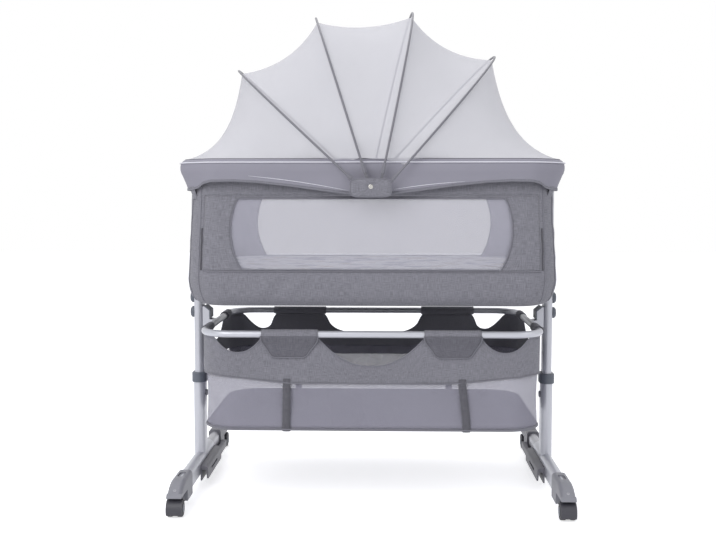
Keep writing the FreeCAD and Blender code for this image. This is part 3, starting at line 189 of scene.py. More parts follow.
class Finish(Shading):
    """A material and its shader."""

    def __init__(self, name, **inputs):
        self.material = bpy.data.materials.new(name)
        super().__init__(self.material)
        self.shader = self.tree.nodes["Principled BSDF"]
        for key, value in inputs.items():
            self.set(key.replace("_", " ").title(), value)

    def set(self, socket, value):
        self.feed(self.shader.inputs[socket], value)

    def place(self, scale, source="Object"):
        """Coordinates stretched by a scale for each direction."""
        coordinates = self.node("ShaderNodeTexCoord", output=source)
        return self.node("ShaderNodeMapping", {}, {"Vector": coordinates, "Scale": scale})

    def speckle(self, scale, detail=2.0, size=1.0, source="Object"):
        """Noise from 0 to 1; the scale is a number, or one for each direction."""
        if not isinstance(scale, tuple):
            scale = (scale,) * 3
        return self.node("ShaderNodeTexNoise", {}, {
            "Vector": self.place(scale, source), "Scale": size, "Detail": detail})

    def mix(self, factor, first, second):
        return self.node("ShaderNodeMix", {"data_type": "RGBA"},
                         {0: factor, 6: first, 7: second}, output=2)

    def tint(self, factor, first, second):
        """Colour the finish between two colours."""
        self.set("Base Color", self.mix(factor, first, second))

    def spread(self, value, low, high):
        """Stretch a value from low..high to 0..1."""
        return self.node("ShaderNodeMapRange", {}, {
            "Value": value, "From Min": low, "From Max": high})

    def bump(self, height, distance, strength=1.0):
        self.set("Normal", self.node("ShaderNodeBump", {}, {
            "Height": height, "Distance": distance, "Strength": strength}))


FINISHES = {}
MADE = {}


def named(make):
    """Keep a finish under its function's name."""
    FINISHES[make.__name__.replace("_", " ")] = make
    return make


def material(name):
    """The finish of this name, made when it is first asked for."""
    if name not in MADE:
        MADE[name] = FINISHES[name](name).material
    return MADE[name]


# length of one wave of the wave texture at scale 1
WAVE = 0.31


def weave(finish, pitch, source="UV"):
    """Crossing threads, as a height from 0 to 1."""
    across, along = [finish.node("ShaderNodeTexWave", {"bands_direction": direction}, {
        "Vector": finish.place((1, 1, 1), source), "Scale": WAVE / pitch,
        "Distortion": 0.6, "Detail": 1.0}, output=1) for direction in "XY"]
    return across.math("MAXIMUM", along)


def melange(name, light, dark, pitch=0.0011, contrast=0.5):
    """Cloth of light and dark threads that run both ways."""
    finish = Finish(name, sheen_weight=0.15, sheen_roughness=0.6)
    across = finish.speckle((60, 900, 60), 3, source="UV")
    along = finish.speckle((900, 60, 900), 3, source="UV")
    patches = finish.speckle(9, 3, source="UV")
    reach = 0.07 / contrast
    streaks = finish.spread(across * 0.5 + along * 0.5, 0.5 - reach, 0.5 + reach)
    base = finish.mix(streaks, dark, light)
    finish.tint(finish.spread(patches, 0.3, 0.75) * 0.16, base, light)
    finish.set("Roughness", 0.88 + 0.08 * streaks)
    finish.bump(weave(finish, pitch) * 0.7 + streaks * 0.3, 0.0004, 0.6)
    return finish


@named
def linen(name):
    return melange(name, colours().linen, colours().linen_dark)


# the linen melange made darker, to paint the shade inside the skirt and on its back tabs
@named
def dark_linen(name):
    thread = Vector(colours().shaded_cloth)
    return melange(name, thread * 1.25, thread)


@named
def basket_cloth(name):
    return melange(name, srgb(172, 170, 180), srgb(146, 144, 155), contrast=0.4)


@named
def binding(name):
    thread = Vector(colours().tape)
    return melange(name, thread, thread * 0.75, pitch=0.0008)


@named
def dark_binding(name):
    return melange(name, srgb(106, 105, 112), srgb(76, 75, 82), pitch=0.0008)


# a darker copy of the linen for the flaps below the front tabs: painted shade
@named
def tab_cloth(name):
    return melange(name, srgb(114, 113, 121), srgb(82, 81, 89))


@named
def lining(name):
    finish = Finish(name, roughness=0.85, sheen_weight=0.2)
    cloth = Vector(colours().lining)
    finish.tint(finish.speckle(14, 3), cloth * 0.93, cloth)
    finish.bump(weave(finish, 0.0012, "Object"), 0.0002, 0.4)
    return finish


def netting(name, thread, cover, pitch):
    """A see-through net: threads with holes too fine to draw one by one."""
    finish = Finish(name, roughness=0.75)
    folds = finish.speckle(5, 4)
    thread = Vector(thread)
    finish.tint(folds, thread * 0.95, thread)
    threads = weave(finish, pitch)
    finish.set("Alpha", cover + 0.06 * (folds - 0.5) + 0.05 * (threads - 0.5))
    finish.bump(threads, 0.0002, 0.3)
    return finish


@named
def canopy_net(name):
    return netting(name, colours().net, 0.62, 0.0014)


@named
def window_net(name):
    return netting(name, colours().mesh, 0.30, 0.0016)


@named
def basket_net(name):
    return netting(name, colours().basket, 0.40, 0.0018)


# a second strip of the basket net, hung inside the back wall
@named
def basket_hem(name):
    return netting(name, colours().basket, 0.40, 0.0018)


@named
def rim_net(name):
    return netting(name, srgb(149, 147, 158), 0.95, 0.0014)


def painted(name, first, second, cloud, gloss, varied, relief=0.0, grain=None, **inputs):
    """A hard finish: its colour and gloss follow a cloud, over a fine relief."""
    finish = Finish(name, **inputs)
    cloud = finish.speckle(*cloud)
    finish.tint(cloud, first, second)
    finish.set("Roughness", gloss + varied * cloud)
    if relief:
        finish.bump(finish.speckle(*grain) if grain else cloud, relief, 0.3)
    return finish


@named
def silver_paint(name):
    paint = Vector(colours().silver)
    return painted(name, paint * 0.95, paint, cloud=(18, 3), gloss=0.3, varied=0.1,
                   relief=0.00004, grain=(2500, 1), metallic=0.35)


@named
def zinc(name):
    return painted(name, srgb(150, 150, 156), srgb(186, 186, 192),
                   cloud=((900, 900, 40), 2), gloss=0.34, varied=0.14, relief=0.00005,
                   metallic=0.9)


@named
def bright_rivet(name):
    return painted(name, srgb(168, 166, 162), srgb(206, 204, 200),
                   cloud=((400, 40, 400), 2), gloss=0.2, varied=0.14, metallic=1.0)


def moulded(name, tint, gloss):
    """Moulded plastic with a fine grain."""
    tint = Vector(tint)
    finish = painted(name, tint * 0.93, tint * 1.04, cloud=(30, 3), gloss=gloss, varied=0.12)
    finish.bump(finish.speckle(1800, 2), 0.00008, 0.4)
    return finish


@named
def grey_plastic(name):
    return moulded(name, colours().plastic, 0.42)


@named
def dark_plastic(name):
    return moulded(name, srgb(66, 65, 72), 0.4)


@named
def mid_plastic(name):
    return moulded(name, srgb(112, 111, 118), 0.42)


@named
def slate_plastic(name):
    return moulded(name, srgb(96, 101, 111), 0.38)


@named
def tread(name):
    return moulded(name, srgb(42, 41, 47), 0.6)


@named
def coated_wire(name):
    return moulded(name, srgb(118, 117, 124), 0.35)


@named
def mattress_cover(name):
    """Pale cotton with faint soft blotches of grey and sand."""
    finish = Finish(name, roughness=0.9, sheen_weight=0.2)
    grey = finish.spread(finish.speckle(21, 1.5), 0.53, 0.64)
    sand = finish.spread(finish.speckle(15, 1.5, 1.3), 0.56, 0.67)
    cover = finish.mix(grey * 0.75, colours().mattress, srgb(176, 175, 187))
    finish.tint(sand * 0.6, cover, srgb(205, 194, 176))
    finish.bump(weave(finish, 0.001, "Object"), 0.0002, 0.4)
    return finish


def grained(name, scale, detail, first, second):
    """A finish whose colour and relief follow one grain."""
    finish = Finish(name, roughness=0.6)
    grain = finish.speckle(scale, detail)
    finish.tint(grain, first, second)
    finish.bump(grain, 0.0001, 0.4)
    return finish


@named
def ply(name):
    return grained(name, (4, 90, 4), 5, srgb(176, 146, 108), srgb(204, 178, 140))


# pale cord for the rim piping, and for the painted highlights along the cover's creases
@named
def pale_cord(name):
    return grained(name, 500, 1, srgb(206, 205, 214), srgb(232, 231, 238))


@named
def zip_teeth(name):
    """Dark tape with a line of teeth."""
    finish = Finish(name, roughness=0.5)
    teeth = finish.node("ShaderNodeTexWave", {"bands_direction": "Y"}, {
        "Vector": finish.place((1, 1, 1), "UV"), "Scale": 130.0, "Distortion": 0.0},
        output=1)
    finish.tint(teeth, srgb(46, 45, 52), srgb(92, 91, 98))
    finish.bump(teeth, 0.0006, 0.8)
    return finish


# ---------------------------------------------------------------- making pieces

def activate(piece):
    bpy.ops.object.select_all(action="DESELECT")
    piece.select_set(True)
    bpy.context.view_layer.objects.active = piece


def apply_modifier(piece, kind, **settings):
    activate(piece)
    bpy.ops.object.modifier_add(type=kind)
    modifier = piece.modifiers[-1]
    for key, value in settings.items():
        setattr(modifier, key, value)
    bpy.ops.object.modifier_apply(modifier=modifier.name)


def finish_piece(piece, finish, body="crib", node=None):
    """Give a piece its material, the body that it rides on and what it stands for."""
    piece.data.materials.clear()
    piece.data.materials.append(material(finish))
    for face in piece.data.polygons:
        face.use_smooth = True
    if body:
        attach(piece, body)
    if node:
        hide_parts(node)
    return piece


def run_lengths(points):
    """How far along the line each of its points is."""
    return [0.0] + list(accumulate((b - a).length for a, b in zip(points, points[1:])))


def grid(name, rows, closed=False, left_out=None, thickness=0.0):
    """A cloth surface from rows of points, with UVs in metres along the cloth.

    left_out(row, column) says which squares stay open.
    """
    count = len(rows[0])
    quads = []
    for i in range(len(rows) - 1):
        for j in range(count if closed else count - 1):
            if left_out and left_out(i, j):
                continue
            k = (j + 1) % count
            quads.append((i * count + j, i * count + k,
                          (i + 1) * count + k, (i + 1) * count + j))
    mesh = bpy.data.meshes.new(name)
    mesh.from_pydata([tuple(point) for row in rows for point in row], [], quads)
    middle = rows[len(rows) // 2]
    u_at = run_lengths(middle + middle[:1])
    v_at = run_lengths([row[count // 3] for row in rows])
    layer = mesh.uv_layers.new(name="cloth")
    for face in mesh.polygons:
        columns = [mesh.loops[l].vertex_index % count for l in face.loop_indices]
        wraps = closed and 0 in columns and count - 1 in columns
        for l, j in zip(face.loop_indices, columns):
            u = u_at[count] if wraps and j == 0 else u_at[j]
            layer.data[l].uv = (u, v_at[mesh.loops[l].vertex_index // count])
    piece = bpy.data.objects.new(name, mesh)
    bpy.context.scene.collection.objects.link(piece)
    activate(piece)
    bpy.ops.object.mode_set(mode="EDIT")
    bpy.ops.mesh.select_all(action="SELECT")
    bpy.ops.mesh.delete_loose()
    bpy.ops.object.mode_set(mode="OBJECT")
    if thickness:
        apply_modifier(piece, "SOLIDIFY", thickness=thickness, offset=-1,
                       use_even_offset=False)
    return piece


def sewn(name, rows, finish, thickness=0.0, closed=False, left_out=None, body="crib",
         node=None):
    """A finished piece of cloth from rows of points."""
    piece = grid(name, rows, closed, left_out, thickness)
    return finish_piece(piece, finish, body, node)


def mended(piece, weld=0.0, filled=False):
    """Turn the faces outwards, with the seam welded or the ends filled where asked."""
    activate(piece)
    bpy.ops.object.mode_set(mode="EDIT")
    if filled:
        bpy.ops.mesh.select_mode(type="EDGE")
        bpy.ops.mesh.select_all(action="DESELECT")
        bpy.ops.mesh.select_non_manifold()
        bpy.ops.mesh.fill_holes(sides=0)
    bpy.ops.mesh.select_all(action="SELECT")
    if weld:
        bpy.ops.mesh.remove_doubles(threshold=weld)
    bpy.ops.mesh.normals_make_consistent(inside=False)
    bpy.ops.object.mode_set(mode="OBJECT")
    return piece


def cord_line(name, points, radius, closed=False, tapered=False):
    """Round piping along a line of points, thin towards its ends if tapered."""
    curve = bpy.data.curves.new(name, "CURVE")
    curve.dimensions = "3D"
    spline = curve.splines.new("POLY")
    spline.points.add(len(points) - 1)
    for i, (target, point) in enumerate(zip(spline.points, points)):
        target.co = (*point, 1)
        if tapered:
            target.radius = 0.15 + 0.85 * math.sin(math.pi * i / (len(points) - 1)) ** 0.5
    spline.use_cyclic_u = closed
    curve.bevel_depth = radius
    curve.bevel_resolution = 2
    curve.use_fill_caps = not closed
    piece = bpy.data.objects.new(name, curve)
    bpy.context.scene.collection.objects.link(piece)
    activate(piece)
    bpy.ops.object.convert(target="MESH")
    return bpy.context.view_layer.objects.active


def piping(name, points, radius, finish="binding", closed=True, body="crib", node=None,
           tapered=False):
    """A round cord, finished as trim."""
    return finish_piece(cord_line(name, points, radius, closed, tapered), finish, body,
                        node)


def band(name, points, normals, width, thickness):
    """A flat tape along a line of points, lying across its normals."""
    rows = [[], [], []]
    for i, (point, normal) in enumerate(zip(points, normals)):
        before = points[max(i - 1, 0)]
        after = points[min(i + 1, len(points) - 1)]
        normal = normal.normalized()
        side = normal.cross((after - before).normalized()).normalized() * width / 2
        rows[0].append(point - side)
        rows[1].append(point + normal * thickness * 0.3)
        rows[2].append(point + side)
    return grid(name, rows, thickness=thickness)


def blend_value(low, high, value):
    """0 below low, 1 above high and smooth between."""
    share = min(max((value - low) / (high - low), 0), 1)
    return share * share * (3 - 2 * share)


def wrinkle(point, size, seed):
    return noise.noise(Vector(point) / size + Vector((seed, seed * 1.7, seed * 0.3)))


class Ring:
    """A rounded rectangle in plan, measured from the middle of its front to the right."""

    def __init__(self, half_x, half_y, radius):
        self.half_x, self.half_y, self.radius = half_x, half_y, radius
        self.straight = half_x - radius
        self.arc = math.pi / 2 * radius
        self.end = 2 * (half_y - radius)
        self.length = 4 * self.straight + 4 * self.arc + 2 * self.end

    def at(self, distance):
        """Point and outward normal in plan; the left half is the right half turned."""
        left = distance % self.length
        sign = -1 if left > self.length / 2 else 1
        if sign < 0:
            left -= self.length / 2
        runs = []
        for run in (self.straight, self.arc, self.end, self.arc, self.straight):
            runs.append(min(left, run))
            left -= runs[-1]
        front, corner, end, next_corner, back = runs
        turn = (corner + next_corner) / self.radius
        nx, ny = sign * math.sin(turn), -sign * math.cos(turn)
        return (sign * (front - back) + self.radius * nx,
                sign * (end - self.end / 2) + self.radius * ny, nx, ny)


def steps(low, high, count):
    return [low + (high - low) * i / count for i in range(count + 1)]


def plan_row(plan, count, place):
    """Points round a plan; place answers how far out and how high each one is."""
    row = []
    for i in range(count):
        s = plan.length * i / count
        x, y, nx, ny = plan.at(s)
        out, z = place(s, x, y, nx, ny)
        row.append(Vector((x + nx * out, y + ny * out, z)))
    return row


def pad_rows(plan, count, profile, lift):
    """Rows of a flat pad from its profile: height, share drawn in and inset."""
    rows = []
    for z, share, inset in profile:
        row = []
        for i in range(count):
            x, y, nx, ny = plan.at(plan.length * i / count)
            x, y = (x - nx * inset) * (1 - share), (y - ny * inset) * (1 - share)
            row.append(Vector((x, y, z + lift(x, y, z))))
        rows.append(row)
    return rows


def merged(*lists):
    """Sorted numbers of several lists, without near doubles."""
    out = []
    for value in sorted(v for values in lists for v in values):
        if not out or value - out[-1] > 1e-5:
            out.append(value)
    return out


# ---------------------------------------------------------------- tub

TUB = Ring(0.416, 0.267, 0.092)
FOLD = 0.541
PANEL_HALF = 0.372
PANEL_TOP = 0.7055
TUB_TOP = 0.7585
LINING = 0.001
LINING_GAP = 0.0004
ZIP_TOP = 0.634

# how far along the plan the front panel reaches on each side of its middle
PANEL_REACH = TUB.straight + TUB.radius * math.asin((PANEL_HALF - TUB.straight) / TUB.radius)

# how far the cloth stands out from the frame at each height
TUB_PROFILE = ((0.4585, -0.050), (0.4595, -0.034), (0.463, -0.022), (0.470, -0.011),
               (0.480, -0.0035), (0.495, 0.0005), (0.516, 0.0025), (0.552, 0.001),
               (0.626, -0.003), (0.700, -0.0065), (0.760, -0.008))


def along(profile, height):
    for (z0, a), (z1, b) in zip(profile, profile[1:]):
        if height <= z1:
            share = min(max((height - z0) / (z1 - z0), 0), 1)
            return a + (b - a) * share
    return profile[-1][1]


def window_top(front):
    return sizes().window_top if front else sizes().back_window_top


def window_half_at(height, top, back):
    """Half width of a window with bowed sides; the back one is a little wider."""
    size = sizes()
    share = min(max((height - size.window_bottom) / (top - size.window_bottom), 0), 1)
    return (size.window_half + 0.009 * (share - 0.5) + (0.008 if back else 0.0)
            + size.window_bow * math.sin(math.pi * share) ** 0.8)


# raised folds of the front cloth: both ends in x and z, half width and height
FOLDS = ((-0.262, 0.472, -0.205, 0.536, 0.008, 0.0026),
         (-0.232, 0.470, -0.172, 0.537, 0.007, -0.0022),
         (-0.200, 0.470, -0.138, 0.535, 0.008, 0.0024),
         (-0.150, 0.472, -0.108, 0.530, 0.007, 0.0016),
         (-0.350, 0.475, -0.300, 0.535, 0.009, 0.0018),
         (0.300, 0.535, 0.352, 0.476, 0.009, 0.0020),
         (0.205, 0.528, 0.262, 0.472, 0.009, 0.0014),
         (-0.362, 0.700, -0.318, 0.610, 0.008, 0.0022),
         (-0.352, 0.690, -0.306, 0.640, 0.006, -0.0016),
         (0.360, 0.700, 0.322, 0.620, 0.008, 0.0018))


def folds(x, z):
    total = 0.0
    for x0, z0, x1, z1, width, rise in FOLDS:
        dx, dz = x1 - x0, z1 - z0
        share = min(max(((x - x0) * dx + (z - z0) * dz) / (dx * dx + dz * dz), 0), 1)
        away = math.hypot(x - x0 - share * dx, z - z0 - share * dz)
        total += (rise * math.sin(math.pi * (0.08 + 0.84 * share))
                  * math.exp(-(away / width) ** 2))
    return total


def tub_relief(x, y, ny, corner, height):
    """How far the tub cloth stands out from its plan."""
    out = along(TUB_PROFILE, height)
    # fuller at the corners
    out += (0.003 * corner * blend_value(0.49, 0.52, height)
            * (1 - blend_value(0.58, 0.7, height)))
    # flat against the posts
    free = 1 - (1 - blend_value(0.03, 0.1, abs(y))) * blend_value(0.3, 0.4, abs(x))
    out = min(out, -0.001) * (1 - free) + out * free
    # slack between the hem and the rim
    slack = free * blend_value(0.462, 0.49, height) * (1 - blend_value(0.70, 0.75, height))
    out += 0.0022 * slack * wrinkle((x + height * 1.3, y, (height - x) * 0.22), 0.035, 3)
    out += 0.0016 * slack * wrinkle((x, y, height * 0.5), 0.06, 9)
    if ny < -0.8:
        out += folds(x, height)
    return min(out, 0.0052)


def tub_point(distance, height, top, inset=0.0):
    """A point of the tub cloth; columns near a window follow its bowed side."""
    half = TUB.length / 2
    s = (distance + half) % TUB.length - half
    back = abs(s) > half / 2
    local = half - abs(s) if back else abs(s)
    edge = sizes().window_half
    local += (window_half_at(height, top, back) - edge) * (
        blend_value(0.1, edge, local) * (1 - blend_value(edge, PANEL_REACH - 0.01, local)))
    x, y, nx, ny = TUB.at(math.copysign(half - local if back else local, s))
    out = tub_relief(x, y, ny, abs(nx * ny) * 2, height) - inset
    return Vector((x + nx * out, y + ny * out, height))


def tub_columns():
    """Distances round the tub with columns on every edge of a window or panel."""
    edge = sizes().window_half
    half = TUB.length / 2
    front = merged(steps(-PANEL_REACH, -edge, 16), steps(-edge, edge, 88),
                   steps(edge, PANEL_REACH, 16))
    end = steps(PANEL_REACH, half - PANEL_REACH, 52)
    return merged(front, end, [half + s for s in front], [half + s for s in end])[:-1]


def tub_shell(name, inset, finish, thickness):
    """The tub's wall and floor, open for the fold-down side and the back window."""
    size = sizes()
    bottom, top = size.window_bottom, size.back_window_top
    heights = merged([z for z, out in TUB_PROFILE if z < 0.48], steps(0.480, FOLD, 10),
                     [bottom], steps(bottom, top, 20), [PANEL_TOP + 0.0004],
                     steps(0.715, TUB_TOP, 4))
    columns = tub_columns()
    half = TUB.length / 2
    wall = [[tub_point(s, z, top, inset) for s in columns] for z in heights]
    floor = [[Vector((p.x * shrink, p.y * shrink, p.z)) for p in wall[0]]
             for shrink in (0.05, 0.45, 0.8)]

    def left_out(i, j):
        if i < len(floor):
            return False
        low, high = heights[i - len(floor):i - len(floor) + 2]
        after = columns[j + 1] if j + 1 < len(columns) else columns[0] + TUB.length
        middle = abs(((columns[j] + after) / 2 + half) % TUB.length - half)
        if FOLD - 1e-4 <= low and high <= PANEL_TOP + 0.0005 and middle < PANEL_REACH:
            return True
        return bottom - 1e-4 <= low and high <= top + 1e-4 and half - middle < size.window_half

    return sewn(name, floor + wall, finish, thickness, True, left_out)


def window_binding(name, front, radius, body):
    """Binding along the outline of a window."""
    bottom, top, edge = sizes().window_bottom, window_top(front), sizes().window_half
    line = [(s, bottom) for s in steps(-edge, edge, 40)[:-1]]
    line += [(edge, z) for z in steps(bottom, top, 18)[:-1]]
    line += [(s, top) for s in steps(edge, -edge, 40)[:-1]]
    line += [(-edge, z) for z in steps(top, bottom, 18)[:-1]]
    start = 0 if front else TUB.length / 2
    piping(name, [tub_point(start + s, z, top, -0.0005) for s, z in line], radius, body=body)


def window_sheet(name, front, body):
    """Mesh that fills a window."""
    size = sizes()
    bottom, top = size.window_bottom, window_top(front)
    start = 0 if front else TUB.length / 2
    rows = [[tub_point(start + s, z, top, 0.0012)
             for s in steps(-size.window_half, size.window_half, 44)]
            for z in steps(bottom, top, 14)]
    piece = sewn(name, rows, "window net", 0.0006, body=body,
                 node="window_mesh_front" if front else "window_mesh_back")
    top - bottom


class CRIB_OT_tub(bpy.types.Operator):
    """Sew the tub: outer cloth, lining, back window and bindings"""
    bl_idname = "crib.tub"
    bl_label = "Tub"

    def execute(self, context):
        size = sizes()
        outer = tub_shell("tub_cloth", 0.0, "linen", size.cloth)
        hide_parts("body_fabric")
        inner = tub_shell("tub_lining", size.cloth + LINING_GAP, "lining", LINING)
        window_sheet("back_window_net", False, "crib")
        window_binding("back_window_binding", False, 0.0016, "crib")
        line = [tub_point(s, FOLD - 0.002, size.window_top, -0.0008)
                for s in steps(-PANEL_REACH, PANEL_REACH, 80)]
        piping("fold_piping", line, 0.0013, closed=False)
        for side, label in SIDES:
            for step, offset in (("a", 0.011), ("b", 0.052)):
                line = [tub_point(side * (PANEL_REACH + offset), z, size.window_top, -0.0006)
                        for z in steps(0.47, TUB_TOP - 0.004, 40)]
                piping("corner_seam_%s_%s" % (step, label), line, 0.0012, closed=False)
        return {"FINISHED"}


class CRIB_OT_side(bpy.types.Operator):
    """Sew the fold-down side with its window and zips"""
    bl_idname = "crib.side"
    bl_label = "Fold-down side"

    def execute(self, context):
        size = sizes()
        bottom, top, edge = size.window_bottom, size.window_top, size.window_half
        end = PANEL_REACH - 0.0006
        columns = merged(steps(-end, -edge, 16), steps(-edge, edge, 60), steps(edge, end, 16))
        heights = merged([FOLD + 0.0005], steps(bottom, top, 20), [PANEL_TOP - 0.0003])

        def left_out(i, j):
            return (bottom - 1e-4 <= heights[i] and heights[i + 1] <= top + 1e-4
                    and abs(columns[j] + columns[j + 1]) / 2 < edge)

        def layer(name, inset, finish, thickness):
            rows = [[tub_point(s, z, top, inset) for s in columns] for z in heights]
            return sewn(name, rows, finish, thickness, False, left_out, "drop_side")

        cloth = layer("side_cloth", 0.0, "linen", size.cloth)
        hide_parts("side_panel")
        inner = layer("side_lining", size.cloth + LINING_GAP, "lining", LINING)
        # most of the panel is window; the area given is 0.3 of the whole and a little more
        window_sheet("front_window_net", True, "drop_side")
        window_binding("front_window_binding", True, 0.0015, "drop_side")
        for side, label in SIDES:
            s = side * (PANEL_REACH + 0.0045)
            line = [tub_point(s, z, top, -0.0009) for z in steps(FOLD, ZIP_TOP, 24)]
            x, y, nx, ny = TUB.at(s)
            zipper = band("zip_%s" % label, line, [Vector((nx, ny, 0))] * len(line),
                          0.0042, 0.0012)
            finish_piece(zipper, "zip teeth")
            if side > 0:
                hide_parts("panel_zips")
        return {"FINISHED"}


# ---------------------------------------------------------------- rim

RIM = Ring(0.425, 0.270, 0.095)
RIM_HEIGHT = 0.772
FLAP = Ring(0.4436, 0.2846, 0.1105)

# height, and how far inside the cover's face, from the inner top edge downwards
FLAP_PROFILE = ((0.7858, 0.0185), (0.7866, 0.0150), (0.7862, 0.0110), (0.7842, 0.0070),
                (0.7810, 0.0036), (0.7765, 0.0012), (0.7700, 0.0000), (0.7630, 0.0002),
                (0.7560, 0.0010), (0.7500, 0.0022))

# half width from the middle, and the height of the hem there
HEM_LINE = ((0.0, 0.7085), (0.046, 0.7085), (0.10, 0.7155), (0.18, 0.7265), (0.25, 0.7340),
            (0.30, 0.7366), (0.35, 0.7360), (0.376, 0.7310), (0.395, 0.7225),
            (0.420, 0.7180), (0.45, 0.7175))


# the hem line is drawn for this height of the hem
HEM_DRAWN = 0.735


def hem_at(x):
    return along(HEM_LINE, abs(x)) + sizes().hem - HEM_DRAWN


def cover_point(s, z, inset=0.0):
    """A point of the rim cover: tight round the corners, eased out over the posts."""
    x, y, nx, ny = FLAP.at(s)
    # each of these is 1 at an end, over a post, at the hem and beside a hub
    turned = blend_value(0.05, 0.6, abs(nx))
    post = blend_value(0.30, 0.40, abs(x)) * (1 - blend_value(0.028, 0.085, abs(y)))
    fall = blend_value(0.765, 0.715, z)
    hub = 1 - blend_value(0.055, 0.16, abs(x)) * (1 - turned)
    slant = fall * ((0.0145 * turned * (1 - post)) + 0.0075 * (1 - turned) * (1 - hub))
    ripple = 0.0007 * fall * wrinkle((x, y, z * 0.4), 0.045, 21) * (1 - post)
    out = ripple - 0.0080 * turned * (1 - post) - slant - inset
    point = Vector((x + nx * out, y + ny * out, z))
    if abs(point.x) > 0.40:
        over_post = ((1 - blend_value(0.022, 0.050, abs(point.y)))
                     * (1 - blend_value(0.752, 0.772, z)))
        point.x += math.copysign(0.0032 * over_post, point.x)
    return point


def flap_row(place, out=0.0):
    """A ring of the rim cover: a profile entry, or a share of the way down to the hem."""
    count = 360
    row = []
    for i in range(count):
        s = FLAP.length * i / count
        if isinstance(place, tuple):
            z, inset = place
        else:
            z, inset = FLAP_PROFILE[-1]
            z += (hem_at(FLAP.at(s)[0]) - z) * place
        row.append(cover_point(s, z, inset - out))
    return row


def pad_row(turn):
    """A line along the rim's padding, turned round the tube."""
    def place(s, x, y, nx, ny):
        corner = blend_value(0.02, 0.4, abs(nx))
        radius = 0.0126 - 0.0034 * corner + 0.0003 * wrinkle((x, y, 0), 0.05, 4)
        return radius * math.cos(turn), RIM_HEIGHT + radius * math.sin(turn)
    return plan_row(RIM, 200, place)


# how far round the corner the tabs stand, half their width, and where they start and end
TAB_REACH = 0.098
TAB_HALF = 0.012
TAB_HEIGHTS = (0.6975, 0.726)

# the slanting creases of the cover, drawn as pale tapered cords that paint a highlight along
# each fold: both ends in x and z, and the bulge between them
CREASE_HIGHLIGHTS = (("left", -0.268, 0.7490, -0.049, 0.7168, 0.003),
           ("right", 0.050, 0.7196, 0.204, 0.7365, 0.002))


class CRIB_OT_rim(bpy.types.Operator):
    """Pad the rim and sew its net cover with the hem, piping and corner tabs"""
    bl_idname = "crib.rim"
    bl_label = "Rim"

    def execute(self, context):
        rows = [pad_row(turn) for turn in steps(0, -2 * math.pi, 14)]
        pad = mended(grid("rim_padding", rows, True), weld=0.00001)
        finish_piece(pad, "rim net", node="rim_sleeve")

        places = [1.0, 0.8, 0.6, 0.4, 0.2] + list(reversed(FLAP_PROFILE))
        cover = sewn("rim_cover", [flap_row(place) for place in places], "rim net", 0.0007,
                     True, node="net_flap")
        hem = hem_binding(flap_row(1.0, 0.0006))
        top = piping("rim_piping", flap_row((0.7785, 0.0012), 0.0014), 0.0014, "pale cord")
        seam = piping("rim_seam", flap_row((0.7862, 0.0118), 0.0004), 0.0011,
                      "dark binding")
        for side, label in SIDES:
            start = side * (FLAP.straight + TAB_REACH)
            rows = [[cover_point(s, z, 0.0018 + 0.006 * blend_value(0.72, 0.70, z))
                     for s in steps(start - TAB_HALF, start + TAB_HALF, 8)]
                    for z in steps(*TAB_HEIGHTS, 8)]
            sewn("corner_tab_%s" % label, rows, "linen", 0.0016)
        # pale cords along the creases: painted highlights
        for label, x0, z0, x1, z1, bulge in CREASE_HIGHLIGHTS:
            line = [cover_point(x0 + (x1 - x0) * share, z0 + (z1 - z0) * share
                                + bulge * math.sin(math.pi * share), 0.0016)
                    for share in steps(0, 1, 30)]
            piping("rim_crease_%s" % label, line, 0.0008, "pale cord", False, tapered=True)
        return {"FINISHED"}


def hem_binding(line):
    """A binding that folds round the lower edge of the rim cover."""
    rows = []
    for drop, out in ((0.0, 0.0), (-0.0006, 0.0008), (0.0008, 0.0014), (0.005, 0.0009)):
        rows.append([point + Vector((point.x, point.y, 0)).normalized() * out + UP * drop
                     for point in line])
    return sewn("rim_hem", rows, "binding", 0.0006, True)


# ---------------------------------------------------------------- canopy

# of each rib: its node, its angle in degrees and how far beside the pivot its front end
# passes; every back end passes at BACK_PASS
RIBS = (("rib_a", 137.0, -0.016), ("rib_b", 107.6, -0.003),
        ("rib_c", 77.9, 0.019), ("rib_d", 48.1, 0.025))
BACK_PASS = -0.012
PIVOT = Vector((0, 0, 0.725))
REACH = 0.428
CROWN = 0.268
FOOT = 0.030
# height of the rim above the pivot where the nets are sewn on
SEAM_RISE = 0.0625


